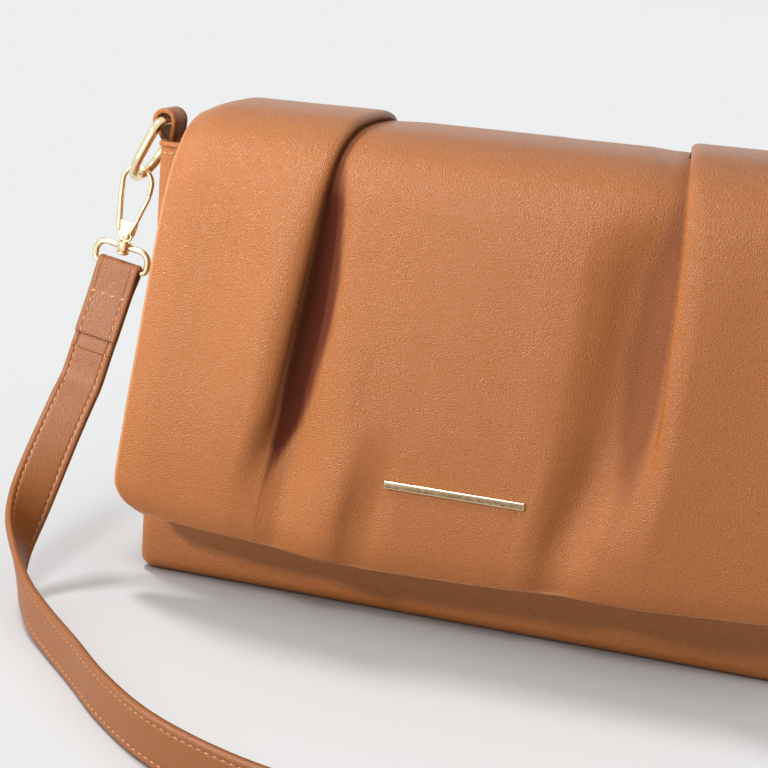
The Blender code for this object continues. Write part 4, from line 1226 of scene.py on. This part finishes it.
def make_body():
    foot = [(FOOT_RADIUS * (1 - math.cos(a)), FOOT_RADIUS * (1 - math.sin(a)))
            for a in np.radians(np.linspace(0, 90, 9))]
    wall = [(z, 0.0) for z in np.linspace(FOOT_RADIUS + 4, RIM - 4.2, 44)]
    inside = [(z, 2.3) for z in np.linspace(RIM - 14, 8, 12)] + [(4.5, 3.0), (3.2, 5.0)]
    rows = body_rows(foot + wall + [(RIM + level, inwards) for level, inwards in RIM_EDGE] + inside)
    loops = np.array(drawn_in(rows[0], 0.0, BASE_SHARES) + list(rows)
                     + drawn_in(rows[-1], 3.2, FLOOR_SHARES))
    attach(make_tube("body", loops, leather_material()), "bag", "leather",
           "front_panel", "back_panel", "base_panel", "left_gusset", "right_gusset")

    lines = [round_seam(RIM - RIM_SEAM, -0.05)]
    heights = np.linspace(FOOT_RADIUS + 2, RIM - 5, 50)
    reach = half_depth(heights) - CORNER_RADIUS
    sink = gusset_sink(heights / RIM, (reach - 1.6) / reach)
    for x_side in (-1, 1):
        for y_side in (-1, 1):
            x, y = x_side * (PANEL_HIGH.x / MM - sink), y_side * (reach - 1.6)
            lines.append((np.column_stack([x, y, heights]) * MM, np.array((x_side, 0, 0))))
    attach(make_stitches("body_stitches", lines, pitch=3.0 * MM, thread=0.55 * MM), "bag", "leather")


# The lining: its rows' heights, how far its two faces lie inside the body's outer face, and how far each
# loop of its floor is drawn in.
LINING_LEVELS = np.linspace(RIM - 11, 16, 26)
LINING_OUTSIDE, LINING_INSIDE = 2.7, 3.4
LINING_FLOOR_SHARES = (0.85, 0.5, 0.2, 0.02)
# The mouth's facing as (level from the rim, how far inwards).
MOUTH_SECTION = [(-14, 2.75), (-1.2, 2.3), (-0.9, 2.7), (-1.2, 3.3), (-4, 3.75), (-15.2, 4.2), (-15.8, 4.0),
                 (-15.9, 3.5)]
POCKET_COLUMNS, POCKET_ROWS = 33, 22
# How far the pocket's mouth stands off the wall in the middle.
POCKET_SAG = 1.6


def soft_folds(rows):
    """The lining's rows with soft folds that hang inwards."""
    x, y, z = (rows[..., k] / MM for k in range(3))
    wave = np.sin(x / 9 + 1.7 * np.sin(z / 26)) * np.sin(z / 19 + x / 60 + np.sign(y))
    depth = 0.55 * np.sin(np.clip((RIM - z) / RIM, 0, 1) * math.pi)
    inwards = unit(np.stack([0 * x, -y, 0 * z], axis=-1))
    return rows + inwards * (depth * (1 + wave))[..., None] * MM


def make_lining():
    """The twill bag inside, its leather facing round the mouth and its slip pocket."""
    inner = [(z, LINING_INSIDE) for z in LINING_LEVELS] + [(11, 4.4), (8, 6.6), (6.6, 10)]
    inner = soft_folds(body_rows(inner))
    inner = np.array(list(inner) + drawn_in(inner[-1], 6.3, LINING_FLOOR_SHARES))
    outer = [(z, LINING_OUTSIDE) for z in LINING_LEVELS] + [(10.4, 3.9), (7.4, 6.4), (5.9, 10)]
    outer = body_rows(outer)
    outer = np.array(list(outer) + drawn_in(outer[-1], 5.7, LINING_FLOOR_SHARES))
    lining = make_tube("twill_lining", np.concatenate([inner[::-1], outer]), lining_material())
    attach(lining, "bag", "lining_cloth", "lining")

    loops = body_rows([(RIM + level, inwards) for level, inwards in MOUTH_SECTION])
    facing = make_piece("mouth_facing_strip", loops, grid_faces(*loops.shape[:2], close_rows=True),
                        leather_material())
    attach(facing, "bag", "leather", "mouth_facing")

    low, high = (np.array(corner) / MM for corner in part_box("slip_pocket"))
    x, z = np.linspace(low[0], high[0], POCKET_COLUMNS), np.linspace(high[2], low[2], POCKET_ROWS)
    x, z = np.meshgrid(x, z)
    across = 1 - (x / high[0]) ** 2
    sag = POCKET_SAG * np.clip((z - low[2]) / (high[2] - low[2]), 0, 1) ** 2 * across
    wall = half_depth(z) - LINING_INSIDE - 1.5
    front = np.stack([x, wall - 1.0 - sag, z - 1.8 * across * (z > high[2] - 1)], axis=-1)
    behind = front + (0, 0.8, 0)
    loops = np.concatenate([front, behind[:, ::-1]], axis=1) * MM
    pocket = make_piece("twill_pocket", loops, flat_faces(loops, POCKET_COLUMNS, 0), lining_material())
    attach(pocket, "bag", "lining_cloth", "slip_pocket")

    mouth, outwards = round_seam(RIM - 13.6, 4.2)
    lines = [(mouth, -outwards)]
    lines += [(line * MM, np.array((0, -1, 0))) for line in (front[:, 1], front[:, -2], front[-2], front[1])]
    attach(make_stitches("lining_stitches", lines, pitch=3.0 * MM, thread=0.5 * MM), "bag", "lining_cloth")
    refinish("base_board", board_material())


# The tabs.
TAB_THICKNESS = 1.9 * MM
TAB_SEAM_HEIGHT = 15 * MM


def make_tab(side):
    """A strip of leather folded over the ring and sewn to the gusset."""
    centre_x, centre_z = TAB_X / MM, RING_AXIS[2] / MM
    foot = TAB_LOW.z / MM
    inner_x = centre_x + 3.0
    path = [(inner_x, foot), (inner_x, centre_z - 14), (inner_x + 0.35, centre_z - 6)]
    path += arc((centre_x, centre_z), 4.0, -14, 205, 9)
    path += [
        (centre_x - 1.4, centre_z - 5.2), (centre_x + 0.35, centre_z - 8.2), (centre_x + 1.0, centre_z - 12),
        (centre_x + 1.0, foot + 0.4),
    ]
    path = even_curve(path, 0.8) * MM
    centre = np.column_stack([path[:, 0], np.full(len(path), TAB_Y), path[:, 1]])
    width = np.broadcast_to((0.0, 1.0, 0.0), centre.shape)
    outward = unit(np.cross(width, along(centre)))
    half = (TAB_HIGH.y - TAB_LOW.y) / 2
    profile = strap_profile(half, TAB_THICKNESS, TAB_THICKNESS)
    grid = placed(ribbon(centre, width, outward, TAB_THICKNESS, profile), side)
    attach(make_tube(side + "_tab_strip", grid, leather_material()), "bag", "leather", side + "_tab")

    seam = half - TAB_THICKNESS
    low = centre[-1, 2] + 2 * MM
    face_x = centre[-1, 0] - TAB_THICKNESS / 2

    def seam_line(y, z):
        points = np.column_stack(np.broadcast_arrays(face_x, TAB_Y + y, z))
        return points, np.array((-1, 0, 0))

    heights, across = np.linspace(low, low + TAB_SEAM_HEIGHT, 20), np.linspace(-seam, seam, 10)
    lines = [seam_line(-seam, heights), seam_line(seam, heights), seam_line(across, low),
             seam_line(across, low + TAB_SEAM_HEIGHT)]
    lines = placed_lines(lines, side)
    attach(make_stitches(side + "_tab_stitches", lines, pitch=2.6 * MM, thread=0.5 * MM), "bag", "leather")


# The fittings, in millimetres in the clip's own frame.
HOOK_TOP = 3.68
HOOK_RADIUS = 6.3
HOOK_CENTRE = HOOK_TOP - HOOK_RADIUS
HOOK_TIP = HOOK_CENTRE - 3.5
PLATE_TOP = -20.6
PLATE_BOTTOM = -27.6
PLATE_LEFT, PLATE_RIGHT = -4.5, 3.9
PIVOT_U, PIVOT_W = 1.2, -25.08
# How far in front of the hook's own plane the gate's lever starts, and the lever's radius.
GATE_FRONT = -1.9
GATE_RADIUS = 0.95
BOSS_BOTTOM = -31.7
LOOP_TOP, LOOP_BOTTOM = -29.8, -38.8
LOOP_HALF_WIDTH = 11.6
WIRE_SIDES = 20
TURNED_SIDES = 32


def clip_place(u, v, w):
    """A point given in the clip's own frame, in millimetres: u along the loop's bar, v to the back and w up
    the hook."""
    u, v, w = np.broadcast_arrays(*(np.asarray(value, float) * MM for value in (u, v, w)))
    return RING_CONTACT + u[..., None] * CLIP_U + v[..., None] * CLIP_V + w[..., None] * CLIP_W


def bent_wire(points, flat, depth, normal, closed=False):
    """A round or oval wire along the points: flat is its radius in the bend's plane and depth across it."""
    tangent = along(points, closed)
    normal = np.broadcast_to(normal, points.shape)
    sideways = unit(np.cross(tangent, normal))
    angles = np.linspace(0, 2 * math.pi, WIRE_SIDES, endpoint=False)
    flat = np.broadcast_to(np.asarray(flat, float), (len(points),))[:, None, None]
    depth = np.broadcast_to(np.asarray(depth, float), (len(points),))[:, None, None]
    ring = sideways[:, None] * np.cos(angles)[None, :, None] * flat
    ring = ring + normal[:, None] * np.sin(angles)[None, :, None] * depth
    grid = points[:, None] + ring
    if not closed:
        def rounded_end(end, ways):
            """Two smaller rings past an end of the wire, which round it off."""
            reach = ways * tangent[end] * flat[end, 0, 0] * 0.5
            return [points[end] + reach * 0.8 + ring[end] * 0.75, points[end] + reach + ring[end] * 0.3]

        grid = np.concatenate([rounded_end(0, -1)[::-1], grid, rounded_end(-1, 1)])
    return grid, grid_faces(*grid.shape[:2], close_rows=closed, caps=not closed)


def turned_shape(base, axis, profile):
    """A shape turned about an axis: profile is (along, radius) from one end to the other, in millimetres."""
    axis = unit(axis)
    first = unit(np.cross(axis, (0.31, 0.87, 0.4)))
    second = np.cross(axis, first)
    angles = np.linspace(0, 2 * math.pi, TURNED_SIDES, endpoint=False)
    ring = np.cos(angles)[:, None] * first + np.sin(angles)[:, None] * second
    grid = np.array([base + axis * at * MM + ring * max(radius, 0.02) * MM for at, radius in profile])
    return grid, grid_faces(*grid.shape[:2], caps=True)


def slab(outline, front, back, soften):
    """A flat plate from its (u, w) outline, its edges rounded."""
    bm = bmesh.new()
    rings = [[bm.verts.new(clip_place(u, v, w)) for u, w in outline] for v in (front, back)]
    bm.faces.new(rings[0])
    bm.faces.new(reversed(rings[1]))
    for k in range(len(outline)):
        m = (k + 1) % len(outline)
        bm.faces.new((rings[0][k], rings[1][k], rings[1][m], rings[0][m]))
    edges = [e for e in bm.edges if e.calc_length() > 0 and len({v in rings[0] for v in e.verts}) == 1]
    bmesh.ops.bevel(bm, geom=edges, offset=soften * MM, segments=3, profile=0.5, affect="EDGES")
    return mesh_lists(bm)


def make_fitting(name, side, body, shapes, *nodes):
    """One gold piece out of several shapes."""
    points, faces = [], []
    for shape_points, shape_faces in shapes:
        shape_points = np.asarray(shape_points, float).reshape(-1, 3)
        start = len(points)
        points += list(placed(shape_points, side))
        faces += [tuple(start + k for k in face) for face in shape_faces]
    piece = make_piece(name, points, faces, gold_material())
    modifier = piece.modifiers.new("flat faces", "WEIGHTED_NORMAL")
    modifier.keep_sharp = True
    attach(piece, body, "gold_metal", *nodes)


def make_ring(side):
    half, corner = RING_WIDTH / 2 / MM, 4.5
    outline = arc((half - corner, -corner), corner, 90, 0, 8)
    outline += arc((0, -(RING_HEIGHT / MM - half)), half, 0, -180, 40)
    outline += arc((-(half - corner), -corner), corner, 180, 90, 8)
    points = np.array([RING_AXIS + CLIP_V * a * MM - RING_DOWN * b * MM for a, b in outline])
    wire = bent_wire(points, RING_WIRE, RING_WIRE, unit(np.cross(CLIP_V, RING_DOWN)), closed=True)
    make_fitting(side + "_d_ring", side, side + "_ring", [wire], side + "_ring")


def make_hook(side):
    """The swivel hook: a bent shank on a tapered plate with a fold across its top, and its post below."""
    shank = [(-3.6, PLATE_TOP - 3.0), (-4.2, PLATE_TOP), (-5.2, PLATE_TOP + 7.0), (-6.1, HOOK_CENTRE - 2.5)]
    shank += arc((0, HOOK_CENTRE), HOOK_RADIUS, 180, 0, 24) + [(HOOK_RADIUS, HOOK_TIP)]
    shank = even_curve(shank, 0.6)
    size = np.interp(np.linspace(0, 1, len(shank)), [0, 0.15, 0.35, 0.85, 1], [1.15, 1.35, 1.12, 1.08, 1.0])
    wire = bent_wire(clip_place(shank[:, 0], 0, shank[:, 1]), size * MM, 1.15 * MM, CLIP_V)
    left, right = PLATE_LEFT, PLATE_RIGHT
    plate = slab([
        (left + 0.3, PLATE_TOP + 0.6), (right - 0.3, PLATE_TOP + 0.6), (right, PLATE_TOP - 0.4),
        (right - 0.2, PLATE_TOP - 3.2), (right - 1.3, PLATE_BOTTOM + 1.4), (right - 2.2, PLATE_BOTTOM),
        (left + 2.8, PLATE_BOTTOM), (left + 1.5, PLATE_BOTTOM + 1.2), (left + 0.2, PLATE_TOP - 3.2),
        (left, PLATE_TOP - 0.4),
    ], -0.6, 1.2, 0.35)
    fold_u = np.linspace(left + 0.4, right - 0.4, 12)
    fold = bent_wire(clip_place(fold_u, 0.3, PLATE_TOP + 0.5), 0.95 * MM, 1.05 * MM, CLIP_V)
    neck = PLATE_BOTTOM - BOSS_BOTTOM + 0.3
    post = turned_shape(clip_place(0, 0, PLATE_BOTTOM), -CLIP_W, [
        (-1.2, 1.1), (0, 1.4), (neck, 1.4), (neck, 2.2), (neck + 0.25, 2.55), (neck + 0.8, 2.6),
        (neck + 1.2, 2.2), (neck + 1.4, 1.2), (neck + 1.42, 0.02),
    ])
    make_fitting(side + "_swivel_hook", side, side + "_hook", [wire, plate, fold, post], side + "_hook")


def make_gate(side):
    """The sprung gate, from its knuckle round the rivet up to the hook's tip."""
    rise = HOOK_TIP - 0.6 - PIVOT_W
    path = np.array([
        (PIVOT_U + 0.8, GATE_FRONT, PIVOT_W + 0.8), (PIVOT_U + 1.9, GATE_FRONT, PIVOT_W + 0.25 * rise),
        (PIVOT_U + 2.6, -1.7, PIVOT_W + 0.38 * rise), (5.1, -0.4, PIVOT_W + 0.72 * rise),
        (5.75, 0, PIVOT_W + 0.88 * rise), (HOOK_RADIUS, 0, PIVOT_W + rise),
    ])
    path = even_curve(path, 0.7)
    lever = bent_wire(clip_place(*path.T), GATE_RADIUS * MM, 0.9 * MM, CLIP_V)
    knuckle = turned_shape(clip_place(PIVOT_U, -2.5, PIVOT_W), CLIP_V, [
        (0, 1.9), (0.15, 2.25), (0.35, 2.4), (0.85, 2.4), (1.05, 2.25), (1.2, 1.9),
    ])
    make_fitting(side + "_sprung_gate", side, side + "_gate", [lever, knuckle], side + "_gate")


def make_rivet(side):
    front = GATE_FRONT - GATE_RADIUS - 0.3
    rivet = turned_shape(clip_place(PIVOT_U, front, PIVOT_W), CLIP_V, [
        (-0.62, 0.02), (-0.6, 0.5), (-0.45, 0.95), (-0.2, 1.3), (0, 1.4), (0.0, 0.75), (4.65, 0.75),
        (4.65, 1.4), (4.95, 1.35), (5.2, 0.9), (5.25, 0.02),
    ])
    make_fitting(side + "_hook_rivet", side, side + "_hook", [rivet], side + "_gate_pin")


def make_loop(side):
    half, big, small = LOOP_HALF_WIDTH, 4.6, 2.5
    outline = arc((half - big, LOOP_TOP - big), big, 90, 0, 10)
    outline += arc((half - small, LOOP_BOTTOM + small), small, 0, -90, 7)
    outline += arc((-(half - small), LOOP_BOTTOM + small), small, -90, -180, 7)
    outline += arc((-(half - big), LOOP_TOP - big), big, 180, 90, 10)
    outline = np.array(outline)
    wire = bent_wire(clip_place(outline[:, 0], 0, outline[:, 1]), 1.35 * MM, 1.3 * MM, CLIP_V, closed=True)
    boss = turned_shape(clip_place(0, 0, BOSS_BOTTOM), CLIP_W, [
        (0.05, 1.75), (0, 2.3), (0.25, 2.85), (0.7, 3.1), (3.1, 3.1), (3.55, 2.85), (3.8, 2.3), (3.75, 1.75),
        (0.05, 1.75),
    ])
    make_fitting(side + "_strap_loop", side, side + "_clip", [wire, boss], side + "_loop")


def make_front_bar():
    low, high = (np.array(corner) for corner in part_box("front_bar"))
    bm = bmesh.new()
    bmesh.ops.create_cube(bm, size=1)
    for vertex in bm.verts:
        vertex.co = Vector((low + high) / 2 + np.array(vertex.co) * (high - low))
    bmesh.ops.bevel(bm, geom=list(bm.edges), offset=0.5 * MM, segments=4, profile=0.5, affect="EDGES")
    make_fitting("front_gold_bar", "left", "flap_front", [mesh_lists(bm)], "front_bar")


def finish_snap():
    for name in ("snap_socket", "snap_stud"):
        refinish(name, gold_material())


# The stage.
CAMERA_TARGET = Vector((-43.417, 0, 85.654)) * MM


def make_camera(plan):
    yaw, pitch, roll = plan.yaw, plan.pitch, plan.roll
    forward = Vector((-math.sin(yaw) * math.cos(pitch), math.cos(yaw) * math.cos(pitch), -math.sin(pitch)))
    level = Vector((math.cos(yaw), math.sin(yaw), 0))
    upright = level.cross(forward)
    right = level * math.cos(roll) + upright * math.sin(roll)
    up = upright * math.cos(roll) - level * math.sin(roll)
    turn = Matrix((right, up, -forward)).transposed().to_4x4()
    camera = add_object("camera", bpy.data.cameras.new("camera"))
    camera.data.lens = plan.lens
    camera.data.clip_start, camera.data.clip_end = 0.05, 60
    camera.matrix_world = Matrix.Translation(CAMERA_TARGET - forward * plan.distance) @ turn
    bpy.context.scene.camera = camera


def lit_only(lamp, floor, wanted):
    """Keeps a lamp to the floor alone, or to everything but the floor."""
    receivers = bpy.data.collections.new(lamp.name + "_receivers")
    receivers.objects.link(floor)
    lamp.light_linking.receiver_collection = receivers
    receivers.collection_objects[0].light_linking.link_state = "INCLUDE" if wanted else "EXCLUDE"


# A shade cooler than white, since the leather's warm light also reaches the floor.
FLOOR_LAMP_TINT = (0.985, 1.0, 1.005)


def make_lamp(name, kind, towards, energy):
    lamp = add_object(name, bpy.data.lights.new(name, kind))
    lamp.data.energy = energy
    lamp.rotation_euler = Vector(towards).to_track_quat("-Z", "Y").to_euler()
    return lamp


def make_sun(name, towards, strength, spread):
    lamp = make_lamp(name, "SUN", towards, strength)
    lamp.data.color = FLOOR_LAMP_TINT
    lamp.data.angle = math.radians(spread)
    return lamp


def make_softbox(name, target, azimuth, elevation, distance, size, power):
    """A round lamp turned to the target. Its azimuth is its turn from the front to the bag's left and its
    elevation its rise, both in degrees."""
    azimuth, elevation = math.radians(azimuth), math.radians(elevation)
    back = Vector((-math.sin(azimuth) * math.cos(elevation), -math.cos(azimuth) * math.cos(elevation),
                   math.sin(elevation)))
    lamp = make_lamp(name, "AREA", -back, power)
    lamp.data.shape = "DISK"
    lamp.data.size = size
    lamp.location = Vector(target) + back * distance
    return lamp


def make_world(colours, strength):
    world = bpy.data.worlds.new("even_light")
    bpy.context.scene.world = world
    world.use_nodes = True
    nodes = Nodes(world.node_tree)
    shade = nodes.mixed(nodes.seen_straight(), (strength,) * 3, tuple(colours.floor))
    nodes.put(world.node_tree.nodes["Background"].inputs["Color"], shade)


class FLAPBAG_OT_stage(bpy.types.Operator):
    """Sets up the camera, the lamps and the pale floor"""
    bl_idname = "flapbag.stage"
    bl_label = "Stage"

    def execute(self, context):
        plan, colours = context.scene.stage_plan, context.scene.bag_colours
        make_camera(plan)
        make_world(colours, plan.fill)
        bpy.ops.mesh.primitive_plane_add(size=40)
        floor = context.object
        floor.name = "floor"
        floor.data.materials.append(floor_material())
        for lamp in (
            ("key_lamp", (-0.05, -0.05, 0.08), 50, 29, 0.58, 0.07, plan.key),
            ("overhead_lamp", (-0.1, 0, 0.1), 22, 68, 1.2, 0.36, plan.overhead),
            ("low_front_lamp", (-0.05, 0, 0.04), 22, 3, 0.9, 0.4, plan.low_front),
        ):
            lit_only(make_softbox(*lamp), floor, False)
        for lamp in (
            ("floor_lamp_behind", (0.33, -0.23, -1), plan.floor_behind, 9),
            ("floor_lamp_front", (-0.1, 0.6, -1), plan.floor_front, 12),
            ("floor_lamp_above", (0.05, 0.1, -1), plan.floor_above, 120),
        ):
            lit_only(make_sun(*lamp), floor, True)
        context.scene.view_settings.view_transform = "Standard"
        return {"FINISHED"}


class FLAPBAG_OT_strap(bpy.types.Operator):
    """Makes the free strap and its two folded, sewn ends"""
    bl_idname = "flapbag.strap"
    bl_label = "Strap"

    def execute(self, context):
        sizes = context.scene.bag_sizes
        make_strap(sizes)
        for side in SIDES:
            make_strap_end(side, sizes)
        return {"FINISHED"}


class FLAPBAG_OT_flap(bpy.types.Operator):
    """Makes the padded flap with its two pleats"""
    bl_idname = "flapbag.flap"
    bl_label = "Flap"

    def execute(self, context):
        make_flap()
        make_flap_lining()
        return {"FINISHED"}


class FLAPBAG_OT_body(bpy.types.Operator):
    """Makes the sewn leather body"""
    bl_idname = "flapbag.body"
    bl_label = "Body"

    def execute(self, context):
        make_body()
        return {"FINISHED"}


class FLAPBAG_OT_lining(bpy.types.Operator):
    """Makes the lining, the facing round the mouth and the slip pocket"""
    bl_idname = "flapbag.lining"
    bl_label = "Lining"

    def execute(self, context):
        make_lining()
        return {"FINISHED"}


class FLAPBAG_OT_tabs(bpy.types.Operator):
    """Makes the leather tabs that hold the rings"""
    bl_idname = "flapbag.tabs"
    bl_label = "Tabs"

    def execute(self, context):
        for side in SIDES:
            make_tab(side)
        return {"FINISHED"}


class FLAPBAG_OT_fittings(bpy.types.Operator):
    """Makes the rings, the swivel hooks, the strap's loops, the bar and the snap"""
    bl_idname = "flapbag.fittings"
    bl_label = "Fittings"

    def execute(self, context):
        for side in SIDES:
            for make in (make_ring, make_hook, make_gate, make_rivet, make_loop):
                make(side)
        make_front_bar()
        finish_snap()
        return {"FINISHED"}


PIECES = [
    FLAPBAG_OT_stage, FLAPBAG_OT_strap, FLAPBAG_OT_flap, FLAPBAG_OT_body, FLAPBAG_OT_lining, FLAPBAG_OT_tabs,
    FLAPBAG_OT_fittings,
]


class FLAPBAG_PT_pieces(bpy.types.Panel):
    """The bag's pieces and what can be changed about them"""
    bl_idname = "FLAPBAG_PT_pieces"
    bl_label = "Flap Bag"
    bl_space_type = "VIEW_3D"
    bl_region_type = "UI"
    bl_category = "Flap Bag"

    def draw(self, context):
        scene = context.scene
        for piece in PIECES:
            self.layout.operator(piece.bl_idname)
        for group in (scene.bag_sizes, scene.bag_colours, scene.stage_plan):
            for name in group.__annotations__:
                self.layout.prop(group, name)


CLASSES = [BagSizes, BagColours, StagePlan, *PIECES, FLAPBAG_PT_pieces]


def register():
    for cls in CLASSES:
        bpy.utils.register_class(cls)
    bpy.types.Scene.bag_sizes = bpy.props.PointerProperty(type=BagSizes)
    bpy.types.Scene.bag_colours = bpy.props.PointerProperty(type=BagColours)
    bpy.types.Scene.stage_plan = bpy.props.PointerProperty(type=StagePlan)


def unregister():
    for name in ("bag_sizes", "bag_colours", "stage_plan"):
        delattr(bpy.types.Scene, name)
    for cls in reversed(CLASSES):
        bpy.utils.unregister_class(cls)


def main():
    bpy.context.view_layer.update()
    register()
    for piece in PIECES:
        group, name = piece.bl_idname.split(".")
        getattr(getattr(bpy.ops, group), name)()


if __name__ == "__main__":
    main()
